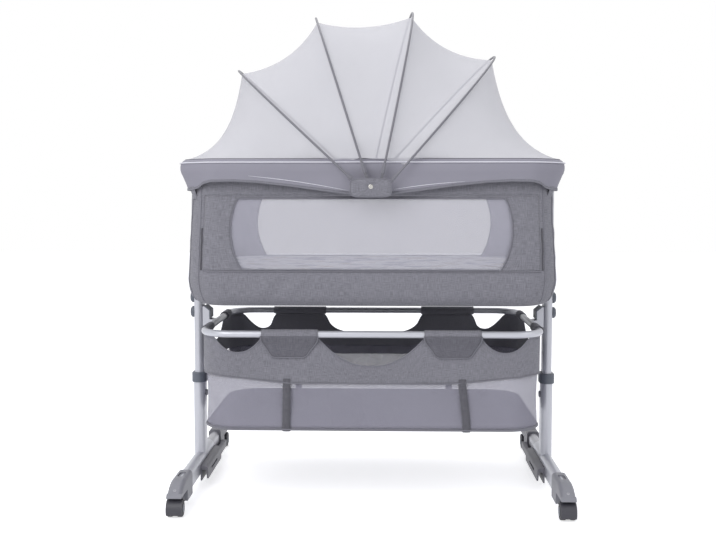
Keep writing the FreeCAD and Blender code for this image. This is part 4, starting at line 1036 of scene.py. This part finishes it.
class Bow:
    """The line of one rib: a side arc, the crown arc and the other side arc."""

    def __init__(self, index, shift=0.0):
        label, angle, front_pass = RIBS[index]
        turn = math.radians(angle)
        self.radial = Vector((math.cos(turn), 0, math.sin(turn)))
        self.across = Vector((math.sin(turn), 0, -math.cos(turn)))
        self.half = 0.2979 + index * 0.0019
        middle = (front_pass + BACK_PASS) / 2 + shift
        slope = (BACK_PASS - front_pass) / (2 * self.half)
        self.base = PIVOT + self.across * middle
        self.side = Vector((0, 1, 0)) + self.across * slope
        rise = REACH - FOOT
        self.bend = ((self.half ** 2 + rise ** 2 - 2 * rise * CROWN)
                     / (2 * self.half - 2 * CROWN))
        self.top = REACH - CROWN
        self.lean = math.atan2(self.top - FOOT, self.bend - self.half)
        # how far from the pivot the rib passes the top of the rim
        self.meeting = SEAM_RISE / math.sin(turn)

    def at(self, across, out):
        return self.base + self.side * across + self.radial * out

    def on_side(self, sign, out):
        inward = self.bend - math.sqrt(self.bend ** 2 - (out - FOOT) ** 2)
        return self.at(sign * (self.half - inward), out)

    def line(self):
        """Points from the rim in front to the rim behind, held inside the wire."""
        joint = self.top + CROWN * math.sin(self.lean)
        points = [(self.on_side(-1, out), 0.0)
                  for out in steps(self.meeting, joint, 12)[:-1]]
        points += [(self.at(CROWN * math.cos(turn), self.top + CROWN * math.sin(turn)),
                    math.sin(turn))
                   for turn in steps(math.pi - self.lean, self.lean, 28)[:-1]]
        points += [(self.on_side(1, out), 0.0) for out in steps(joint, self.meeting, 12)]
        heart = self.at(0, 0.2)
        line = []
        for point, rise in points:
            deep = 0.0038 + 0.0072 * blend_value(0.35, 1.0, rise)
            point = point + (heart - point).normalized() * deep
            point.y -= math.copysign(0.0105 * blend_value(0.83, 0.787, point.z), point.y)
            line.append(point)
        return line


# height and inset of the nets' seam on the rim, and how far from a hub's middle it starts
NET_EDGE = (0.7868, 0.0125)
HUB_CLEAR = 0.076


def rim_points(side, count):
    """Half of the rim from beside the front hub round one end to the back hub."""
    half = [cover_point(s, *NET_EDGE)
            for s in steps(HUB_CLEAR, FLAP.length / 2 - HUB_CLEAR, count - 1)]
    return [Vector((side * point.x, point.y, point.z)) for point in half]


def sagged(first, second, sag, cells, drop=0.0, fall=0.0):
    """Rows between two lines that dip towards the pivot, inwards and down.

    sag, drop and fall say how much, as shares of the gap between the lines.
    """
    rows = []
    for share in steps(0, 1, cells):
        row = []
        for p, q in zip(first, second):
            chord = (q - p).length
            middle = (p + q) / 2
            inward = Vector((-middle.x, -middle.y * 0.5, 0)).normalized()
            toward = PIVOT + Vector((0, middle.y * 0.55, 0.02)) - middle
            control = (middle + toward.normalized() * chord * sag * 2
                       + inward * chord * drop - UP * chord * fall)
            a, b, c = (1 - share) ** 2, 2 * share * (1 - share), share ** 2
            row.append(p * a + control * b + q * c)
        rows.append(row)
    return rows


def cloth_area(rows):
    total = 0.0
    for low, high in zip(rows, rows[1:]):
        for j in range(len(low) - 1):
            total += ((low[j + 1] - low[j]).cross(high[j] - low[j])).length / 2
            total += ((high[j + 1] - high[j]).cross(high[j + 1] - low[j + 1])).length / 2
    return total


def net_piece(name, rows, node, flat):
    """A net; its mesh's own area, held between 0.3 of its flat box and all of it, is worked
    out but not kept. A net; its area is its mesh's own, kept between 0.3 of its flat box
    and all of it.
    """
    piece = mended(grid(name, rows))
    finish_piece(piece, "canopy net", None, node)
    whole = flat[0] * flat[1]
    min(max(cloth_area(rows), 0.3001 * whole), whole)
    return piece


# estimated boxes for the flat nets, across by along the rib; both are larger than the nets
GORE_FLAT = (0.26, 1.12)
END_NET_FLAT = (0.52, 1.2)
GORE_SAGS = (0.12, 0.075, 0.12)


class CRIB_OT_canopy(bpy.types.Operator):
    """Stretch the canopy net over the ribs"""
    bl_idname = "crib.canopy"
    bl_label = "Canopy"

    def execute(self, context):
        for index, (letter, sag) in enumerate(zip("abc", GORE_SAGS)):
            rows = sagged(Bow(index, 0.001).line(), Bow(index + 1, -0.001).line(), sag, 12)
            piece = net_piece("gore_%s" % letter, rows, "net_gore_%s" % letter, GORE_FLAT)
            Bow(index + 1).at(0, 0.3)
            Bow(index).at(0, 0.3)
            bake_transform(piece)
        ends = []
        for index, shift, side, label in ((0, -0.001, -1, "left"), (3, 0.001, 1, "right")):
            line = Bow(index, shift).line()
            rows = sagged(line, rim_points(side, len(line)), 0.0, 16, 0.134, 0.27)
            ends.append(net_piece("end_net_%s" % label, rows, "net_%s" % label,
                                  END_NET_FLAT))
        left, right = ends
        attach(left, "canopy_rib_a")
        tuple(Bow(0).at(0, 0.3))
        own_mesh(left)
        Bow(3).at(0, 0.40)
        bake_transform(right)
        return {"FINISHED"}


def hub_point(share, turn, side):
    """A point of a hub cover: a rounded block that dips to its rivet."""
    c, s = math.cos(turn), math.sin(turn)
    x = 0.0445 * share * math.copysign(abs(c) ** 0.4, c)
    z = 0.7225 + 0.0198 * share * math.copysign(abs(s) ** 0.4, s)
    button = math.hypot(x, z - 0.725)
    depth = 0.3104 + 0.0028 * (1 - share ** 6) * blend_value(0.003, 0.013, button)
    return Vector((-side * x, side * depth, z))


class CRIB_OT_hubs(bpy.types.Operator):
    """Cover the canopy hubs with cloth"""
    bl_idname = "crib.hubs"
    bl_label = "Hub covers"

    def execute(self, context):
        for side, label in ((-1, "front"), (1, "back")):
            rows = [[hub_point(share, turn, side) for turn in steps(0, 2 * math.pi, 64)[:-1]]
                    for share in steps(1, 0.04, 9)]
            cover = sewn("hub_cover_%s" % label, rows, "linen", closed=True)
            line = [point + Vector((0, side * 0.0003, 0)) for point in rows[0]]
            edge = piping("hub_piping_%s" % label, line, 0.0011)
        for index, (label, angle, front) in enumerate(RIBS):
            for end, mark in ((-1, "front"), (1, "back")):
                line = [Bow(index).on_side(end, out) for out in steps(0.0335, 0.056, 8)]
                sleeve = cord_line("rib_sleeve_%s_%s" % (label[-1], mark), line, 0.0039)
                finish_piece(sleeve, "linen", "canopy_" + label)
        return {"FINISHED"}


# ---------------------------------------------------------------- mattress

MATTRESS = Ring(0.4035, 0.2545, 0.085)

# height, share drawn in towards the middle, and inset of each ring from the base up
MATTRESS_PROFILE = (
    (0.4997, 0.93, 0), (0.4997, 0.5, 0), (0.4998, 0.0, 0.012), (0.5015, 0.0, 0.004),
    (0.506, 0.0, 0.0008), (0.512, 0.0, 0.0), (0.520, 0.0, 0.0004), (0.530, 0.0, 0.0),
    (0.538, 0.0, 0.0008), (0.5415, 0.0, 0.0045), (0.5438, 0.0, 0.012),
    (0.5450, 0.1, 0.012), (0.5456, 0.25, 0.012), (0.5456, 0.45, 0.012),
    (0.5454, 0.7, 0.012), (0.5452, 0.93, 0.012))


QUILTED_FROM = 0.543
QUILT_X, QUILT_Y = 0.134, 0.128


def mattress_lift(x, y, z):
    """The quilted top rises and falls a little."""
    if z <= QUILTED_FROM:
        return 0.0
    quilt = math.cos(math.pi * x / QUILT_X) * math.cos(math.pi * y / QUILT_Y)
    return 0.0014 * wrinkle((x, y, 0), 0.07, 5) + 0.0008 * quilt


class CRIB_OT_mattress(bpy.types.Operator):
    """Make the mattress with its piped edges"""
    bl_idname = "crib.mattress"
    bl_label = "Mattress"

    def execute(self, context):
        rows = pad_rows(MATTRESS, 168, MATTRESS_PROFILE, mattress_lift)
        piece = mended(grid("mattress_pad", rows, True), filled=True)
        finish_piece(piece, "mattress cover", node="mattress")
        for name, z, inset in (("mattress_piping_top", 0.5405, 0.0022),
                               ("mattress_piping_base", 0.5035, 0.0018)):
            line = plan_row(MATTRESS, 168, lambda *at: (-inset, z))
            piping(name, line, 0.0018, "mattress cover")
        return {"FINISHED"}


# ---------------------------------------------------------------- storage

SHELF = Ring(0.385, 0.240, 0.070)
SHELF_HEIGHT = 0.396
SKIRT = Ring(0.3868, 0.2418, 0.0718)
BASKET = Ring(0.3836, 0.2386, 0.080)
FLOOR = Ring(0.3812, 0.2362, 0.0765)
FLOOR_EDGE = Ring(0.3840, 0.2390, 0.079)
# where the front, back and end tabs start and end, measured from the middle of their wall; how
# far the corner dips reach; and the height of the skirt's upper edge
FRONT_TAB = (0.119, 0.246)
BACK_TAB = (0.129, 0.270)
SIDE_TAB = (0.100, 0.165)
CORNER_REACH = 0.354
SKIRT_TOP = 0.3872


def round_dip(share):
    return 1 - min(abs(share * 2 - 1) ** 2.2, 1)


def broad_dip(share):
    """Steep sides and a broad floor."""
    return math.sqrt(max(0, 1 - (share * 2 - 1) ** 4))


def leaning_dip(share):
    """Steep at its low end, with a gentle climb to its high end."""
    if share < 0.42:
        return math.sqrt(1 - (1 - share / 0.42) ** 3)
    return 1 - ((share - 0.42) / 0.58) ** 1.6


# of each dip in the skirt's upper edge: its wall, where it starts and ends on each side of
# the wall's middle, its shape and its lowest height
DIPS = (("front", -FRONT_TAB[0], FRONT_TAB[0], round_dip, 0.324),
        ("front", FRONT_TAB[1], CORNER_REACH, round_dip, 0.354),
        ("back", -BACK_TAB[0], BACK_TAB[0], broad_dip, 0.333),
        ("back", BACK_TAB[1], CORNER_REACH, leaning_dip, 0.345),
        ("end", -SIDE_TAB[0], SIDE_TAB[0], round_dip, 0.350))


def skirt_top(distance):
    """Upper edge of the skirt wall at a place of the ring."""
    x, y, nx, ny = SKIRT.at(distance)
    wall, place = ("front" if ny < 0 else "back"), abs(x)
    if abs(nx) > 0.99:
        wall, place = "end", abs(y)
    for name, low, high, shape, bottom in DIPS:
        if name == wall and low < place < high:
            return SKIRT_TOP - (SKIRT_TOP - bottom) * shape((place - low) / (high - low))
    return SKIRT_TOP


def skirt_bottom(distance):
    """Lower edge: it drops in the middle of the front and all along the back."""
    x, y, nx, ny = SKIRT.at(distance)
    if ny < 0:
        return 0.2845 + 0.018 * blend_value(0.15, 0.385, abs(x))
    return 0.3025 - 0.0245 * blend_value(0.0, 0.6, ny)


def skirt_row(inset, share):
    """A line round the skirt's wall, a share of the way up from its lower edge."""
    def place(s, x, y, nx, ny):
        low, high = skirt_bottom(s), skirt_top(s)
        z = low + (high - low) * share
        return 0.0012 * wrinkle((x, y, z), 0.06, 7) * (1 - share) - inset, z
    return plan_row(SKIRT, 300, place)


def tube_loop(points, across):
    """A tab of cloth folded over the storage tube along a run of points."""
    return [[point + (across * math.cos(turn) + UP * math.sin(turn)) * 0.0101
             for point in points] for turn in steps(-1.2, math.pi + 1.2, 14)]


def tab_runs(side, label):
    """Where the tabs of one side lie on the tube, and which way they face."""
    runs = {}
    for wall, tab, end in (("front", FRONT_TAB, -1), ("back", BACK_TAB, 1)):
        line = [Vector((side * x, end * SHELF.half_y, SHELF_HEIGHT))
                for x in steps(*tab, 12)]
        runs["%s_%s" % (wall, label)] = line, Vector((0, end, 0))
    for mark, end in (("a", -1), ("b", 1)):
        line = [Vector((side * SHELF.half_x, end * y, SHELF_HEIGHT))
                for y in steps(*SIDE_TAB, 8)]
        runs["end_%s_%s" % (mark, label)] = line, Vector((side, 0, 0))
    return runs


def tab_patch(side):
    """The rounded flap that hangs below a front tab."""
    rows = []
    low_z, high_z = 0.3440, 0.3930
    for v in steps(0, 1, 16):
        z = low_z + (high_z - low_z) * v
        inner = 0.1190 + 0.0240 * (1 - blend_value(0.0, 0.9, v))
        outer = 0.2470 - 0.0210 * (1 - blend_value(0.0, 0.9, v))
        if v < 0.22:
            round_in = 0.009 * (1 - math.sqrt(max(0, 1 - (1 - v / 0.22) ** 2)))
            inner, outer = inner + round_in, outer - round_in
        y = -0.2437 - 0.0068 * blend_value(0.45, 1.0, v)
        rows.append([Vector((side * x, y, z)) for x in steps(inner, outer, 22)])
    return rows


# height, share drawn in towards the middle, and inset of each ring of the basket's floor
FLOOR_PROFILE = (
    (0.1762, 0.95, 0), (0.1762, 0.5, 0), (0.1760, 0.0, 0.003), (0.1768, 0.0, 0.0005),
    (0.179, 0.0, 0.0), (0.1812, 0.0, 0.0005), (0.1820, 0.0, 0.003), (0.1818, 0.2, 0.003),
    (0.1816, 0.5, 0.003), (0.1816, 0.95, 0.003))
NET_FOOT = 0.1825
NET_TOP = 0.3005

# how far each strap stands from the middle: at its front top, at its front foot and behind
STRAPS = {"right": (0.2045, 0.2145, 0.205), "left": (0.1895, 0.1915, 0.205)}
STRAP_REACH = 0.2446
# where the straps hold the net's wall
STRAP_HOLD = 0.193


def floor_lift(x, y, z):
    return min(0.0006 * wrinkle((x, y, 0), 0.12, 13), 0.0002) if z > 0.181 else 0.0


def net_row(z):
    """A row of the basket's wall, drawn in between the straps."""
    pull = math.sin(math.pi * (z - NET_FOOT) / (NET_TOP - NET_FOOT))

    def place(s, x, y, nx, ny):
        hold = math.cos(math.pi * x / STRAP_HOLD) if abs(ny) > 0.9 else 0.0
        out = -0.0022 * pull * (1 - 0.6 * hold)
        return out + 0.0008 * pull * wrinkle((x, y, z * 2), 0.05, 11), z
    return plan_row(BASKET, 260, place)


def strap(side, label):
    """A strap down the front, under the floor and up the back."""
    reach = STRAP_REACH
    # y and z of each place, and the way that its face looks
    way = [(-reach + 0.0025, z, -1, 0) for z in steps(0.2955, 0.1835, 8)]
    way.append((-reach + 0.0065, 0.1765, -0.7, -0.7))
    way += [(y, 0.1742, 0, -1) for y in steps(-reach + 0.007, reach - 0.007, 14)]
    way.append((reach - 0.003, 0.1755, 0.7, -0.7))
    way += [(reach - 0.001, z, 1, 0) for z in steps(0.181, 0.2955, 8)]
    top, foot, rear = STRAPS[label]
    points, normals = [], []
    for y, z, out, up in way:
        x = top + (foot - top) * blend_value(0.2955, 0.18, z)
        x += (rear - x) * blend_value(-reach + 0.01, reach - 0.01, y)
        points.append(Vector((side * x, y, z)))
        normals.append(Vector((0, out, up)))
    tape = band("basket_strap_%s" % label, points, normals, 0.0175, 0.0014)
    return finish_piece(tape, "dark binding")


class CRIB_OT_storage(bpy.types.Operator):
    """Sew the storage skirt, its tabs and the mesh basket"""
    bl_idname = "crib.storage"
    bl_label = "Storage"

    def execute(self, context):
        self.sew_skirt()
        self.hang_net()
        self.pad_floor()
        for side, label in SIDES:
            piece = strap(side, label)
            if side > 0:
                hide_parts("basket_straps")
        return {"FINISHED"}

    def sew_skirt(self):
        """The skirt with its lining and bindings, and the tabs that hold it."""
        shares = steps(0, 1, 12)
        outer = sewn("skirt_cloth", [skirt_row(0.0, share) for share in shares], "linen",
                     0.0008, True, node="storage_skirt")
        # the inner face takes the darker copy of the linen: painted shade
        extra = [sewn("skirt_lining", [skirt_row(0.0011, share) for share in shares],
                      "dark linen", 0.0006, True)]
        extra.append(piping("skirt_top_binding", skirt_row(0.0004, 1.0), 0.0016))
        extra.append(piping("skirt_low_binding", skirt_row(0.0004, 0.0), 0.0014))
        for side, label in SIDES:
            for name, (run, across) in tab_runs(side, label).items():
                # the back tabs, seen from their inner side, take the darker copy of the linen:
                # painted shade
                finish = "dark linen" if name.startswith("back") else "linen"
                extra.append(mended(sewn("loop_%s" % name, tube_loop(run, across), finish,
                                         0.0009)))
            # each row runs towards +x, so that the face looks to the front
            rows = [row[::side] for row in tab_patch(side)]
            # the flap takes the darker copy of the linen: painted shade
            extra.append(sewn("tab_%s" % label, rows, "tab cloth", 0.0012))
            line = ([row[0] for row in reversed(rows)] + rows[0][1:-1]
                    + [row[-1] for row in rows])
            extra.append(piping("tab_binding_%s" % label,
                                [point - Vector((0, 0.0004, 0)) for point in line], 0.0013,
                                closed=False))

    def hang_net(self):
        """The net wall of the basket, and a second strip of the same net inside its back,
        which darkens what is seen through it there.
        """
        net = sewn("basket_net", [net_row(z) for z in steps(NET_FOOT, NET_TOP, 14)],
                   "basket net", 0.0006, True, node="basket_mesh")
        rows = [[Vector((x, BASKET.half_y - 0.003, z)) for x in steps(-0.30, 0.30, 40)]
                for z in steps(0.236, 0.2785, 5)]
        hem = sewn("basket_hem", rows, "basket hem", 0.0008)

    def pad_floor(self):
        """The basket's stiffened floor with the piping round its edge."""
        rows = pad_rows(FLOOR, 200, FLOOR_PROFILE, floor_lift)
        floor = mended(grid("basket_base", rows, True), filled=True)
        finish_piece(floor, "basket cloth", node="basket_floor")
        line = plan_row(FLOOR_EDGE, 220, lambda *at: (0, 0.179))
        piping("basket_edge", line, 0.0026, node="basket_piping")


# ---------------------------------------------------------------- frame

FRAME_FINISHES = (
    ("silver paint", ("leg_tube_", "shelf_ring", "post_")),
    ("zinc", ("back_foot_tube_", "rim_tube", "base_frame")),
    ("slate plastic", ("collar_", "bolt_caps", "bracket_covers")),
    ("grey plastic", ("foot_cap_", "leg_button_")),
    ("linen", ("hub_front", "hub_back")),
    ("mid plastic", ("back_foot_cap_", "foot_guide_")),
    ("dark plastic", ("caster_fork_",)),
    ("tread", ("caster_wheels_",)),
    ("coated wire", ("rib_",)),
    ("bright rivet", ("hub_rivets",)),
    ("ply", ("base_board",)),
)


def node_box(label):
    """Lowest and highest corner of a node of the frame."""
    piece = NODES[label]
    corners = [piece.matrix_world @ Vector(corner) for corner in piece.bound_box]
    return (Vector([min(c[i] for c in corners) for i in range(3)]),
            Vector([max(c[i] for c in corners) for i in range(3)]))


def cylinder(name, radius, depth, place, axis, finish, body, bevel, dish):
    """A turned detail: bevelled, with a dished face that looks along the axis."""
    bpy.ops.object.select_all(action="DESELECT")
    turn = UP.rotation_difference(Vector(axis)).to_euler()
    bpy.ops.mesh.primitive_cylinder_add(vertices=40, radius=radius, depth=depth,
                                        location=place, rotation=turn)
    piece = bpy.context.view_layer.objects.active
    piece.name = piece.data.name = name
    bpy.ops.object.transform_apply(location=True, rotation=True, scale=True)
    direction = Vector(axis).normalized()
    bpy.ops.object.mode_set(mode="EDIT")
    bpy.ops.mesh.select_mode(type="FACE")
    bpy.ops.mesh.select_all(action="DESELECT")
    bpy.ops.object.mode_set(mode="OBJECT")
    for face in piece.data.polygons:
        face.select = face.normal.dot(direction) > 0.99
    bpy.ops.object.mode_set(mode="EDIT")
    bpy.ops.mesh.inset(thickness=radius * 0.3, depth=0)
    bpy.ops.mesh.inset(thickness=radius * 0.12, depth=-dish)
    bpy.ops.object.mode_set(mode="OBJECT")
    apply_modifier(piece, "BEVEL", width=bevel, segments=3, limit_method="ANGLE",
                   angle_limit=math.radians(40))
    finish_piece(piece, finish, body)
    activate(piece)
    bpy.ops.object.shade_smooth_by_angle(angle=math.radians(35))
    return piece


CAP_SCREW = (0.430, 0.317, 0.0592)
BOLT_HEIGHTS = (0.456, 0.419)


class CRIB_OT_frame(bpy.types.Operator):
    """Paint the tubes, plastics and wires, and add the screws and caps"""
    bl_idname = "crib.frame"
    bl_label = "Frame"

    def execute(self, context):
        for finish, names in FRAME_FINISHES:
            for label, piece in NODES.items():
                if any(label.startswith(name) for name in names):
                    piece.data.materials.clear()
                    piece.data.materials.append(material(finish))
        for side, label in SIDES:
            for end, mark, body in ((-1, "front", "leg_" + label),
                                    (1, "back", "back_foot_" + label)):
                x, y, z = CAP_SCREW
                cylinder("cap_screw_%s_%s" % (mark, label), 0.0034, 0.0012,
                         (side * x, end * y, z), (0, end * 0.45, 0.9), "zinc", body,
                         0.0003, 0.0004)
                wheels = "caster_wheels_%s_%s" % (mark, label)
                low, high = node_box(wheels)
                middle = (low + high) / 2
                for face, out in ((-1, low.x), (1, high.x)):
                    cylinder("wheel_cap_%s_%s_%s" % (mark, label, "ab"[face > 0]), 0.0095,
                             0.0014, (out + face * 0.0004, middle.y, middle.z), (face, 0, 0),
                             "slate plastic", "wheels_%s_%s" % (mark, label),
                             0.0004, 0.0006)
            for height in BOLT_HEIGHTS:
                cylinder("bolt_face_%s_%d" % (label, 1000 * height), 0.0105, 0.0016,
                         (side * (node_box("bolt_caps")[1].x + 0.0004), 0, height),
                         (side, 0, 0), "dark plastic", "crib", 0.0005, 0.0009)
        return {"FINISHED"}


# ---------------------------------------------------------------- stage

# name, place, height that it looks at, side length and power of each lamp
LAMPS = (("lamp_front", (-1.9, -3.0, 2.7), 0.55, 2.6, 72),
         ("lamp_right", (3.0, -1.4, 2.2), 0.55, 2.4, 17),
         ("lamp_top", (-0.3, 0.9, 3.6), 0.5, 3.0, 38))


SKY_LIGHT = 0.62
FLOOR_GLOW = 0.62
CAMERA_PLACE = (0.032, -2.461, 0.7047)
CAMERA_LENS = 50.28
# degrees that the camera looks down and to the left
CAMERA_DOWN = 4.22
CAMERA_LEFT = 1.58


class CRIB_OT_stage(bpy.types.Operator):
    """Set the floor, the lamps and the camera"""
    bl_idname = "crib.stage"
    bl_label = "Stage"

    def execute(self, context):
        self.lay_floor()
        for name, place, aim, size, power in LAMPS:
            lamp = bpy.data.lights.new(name, "AREA")
            lamp.energy = power
            lamp.size = size
            turn = (Vector((0, 0, aim)) - Vector(place)).to_track_quat("-Z", "Y").to_euler()
            self.stand(name, lamp, place, turn)
        self.light_world(context.scene)
        camera = bpy.data.cameras.new("photo_camera")
        camera.lens = CAMERA_LENS
        camera.sensor_width = 36
        context.scene.camera = self.stand(
            "photo_camera", camera, CAMERA_PLACE,
            (math.radians(90 - CAMERA_DOWN), 0, math.radians(CAMERA_LEFT)))
        context.scene.view_settings.view_transform = "Standard"
        return {"FINISHED"}

    def stand(self, name, data, place, turn):
        """Put a lamp or camera in its place."""
        made = bpy.data.objects.new(name, data)
        made.location = place
        made.rotation_euler = turn
        bpy.context.scene.collection.objects.link(made)
        return made

    def lay_floor(self):
        """A plain floor that glows to white where it is looked at."""
        bpy.ops.object.select_all(action="DESELECT")
        bpy.ops.mesh.primitive_plane_add(size=16, location=(0, 2.0, 0))
        floor = bpy.context.view_layer.objects.active
        floor.name = "studio_floor"
        finish = Finish("studio floor", roughness=0.9)
        finish.set("Specular IOR Level", 0.1)
        finish.tint(finish.speckle(0.8, 1), (0.82, 0.82, 0.83), (0.86, 0.86, 0.87))
        glow = finish.node("ShaderNodeEmission", {}, {
            "Color": (1, 1, 1), "Strength": finish.seen_directly() * FLOOR_GLOW})
        both = finish.node("ShaderNodeAddShader", {}, {
            0: Signal(finish, finish.shader.outputs[0]), 1: glow})
        finish.feed(finish.tree.nodes["Material Output"].inputs["Surface"], both)
        floor.data.materials.append(finish.material)

    def light_world(self, scene):
        """Pale blue light all round, behind a white backdrop."""
        scene.world = bpy.data.worlds.new("studio")
        sky = Shading(scene.world)
        back = sky.tree.nodes["Background"]
        sky.feed(back.inputs["Color"], (0.93, 0.95, 1.0))
        sky.feed(back.inputs["Strength"], SKY_LIGHT)
        white = sky.node("ShaderNodeBackground", {}, {"Color": (1, 1, 1)})
        both = sky.node("ShaderNodeMixShader", {}, {
            0: sky.seen_directly(), 1: Signal(sky, back.outputs[0]), 2: white})
        sky.feed(sky.tree.nodes["World Output"].inputs["Surface"], both)


# ---------------------------------------------------------------- add-on

class CRIB_PT_panel(bpy.types.Panel):
    """The crib's settings and steps"""
    bl_idname = "CRIB_PT_panel"
    bl_label = "Bedside sleeper crib"
    bl_space_type = "VIEW_3D"
    bl_region_type = "UI"
    bl_category = "Crib"

    def draw(self, context):
        for group in (context.scene.crib_sizes, context.scene.crib_colours):
            box = self.layout.box()
            for key in group.__annotations__:
                box.prop(group, key)
        for step in STEPS:
            self.layout.operator(step.bl_idname)


STEPS = (CRIB_OT_stage, CRIB_OT_frame, CRIB_OT_tub, CRIB_OT_side, CRIB_OT_rim,
         CRIB_OT_canopy, CRIB_OT_hubs, CRIB_OT_mattress, CRIB_OT_storage)
CLASSES = (CribSizes, CribColours) + STEPS + (CRIB_PT_panel,)


def register():
    for item in CLASSES:
        bpy.utils.register_class(item)
    bpy.types.Scene.crib_sizes = PointerProperty(type=CribSizes)
    bpy.types.Scene.crib_colours = PointerProperty(type=CribColours)


def unregister():
    del bpy.types.Scene.crib_colours
    del bpy.types.Scene.crib_sizes
    for item in reversed(CLASSES):
        bpy.utils.unregister_class(item)


def main():
    register()
    bpy.ops.crib.stage()
    bpy.ops.crib.frame()
    bpy.ops.crib.tub()
    bpy.ops.crib.side()
    bpy.ops.crib.rim()
    bpy.ops.crib.canopy()
    bpy.ops.crib.hubs()
    bpy.ops.crib.mattress()
    bpy.ops.crib.storage()


if __name__ == "__main__":
    main()
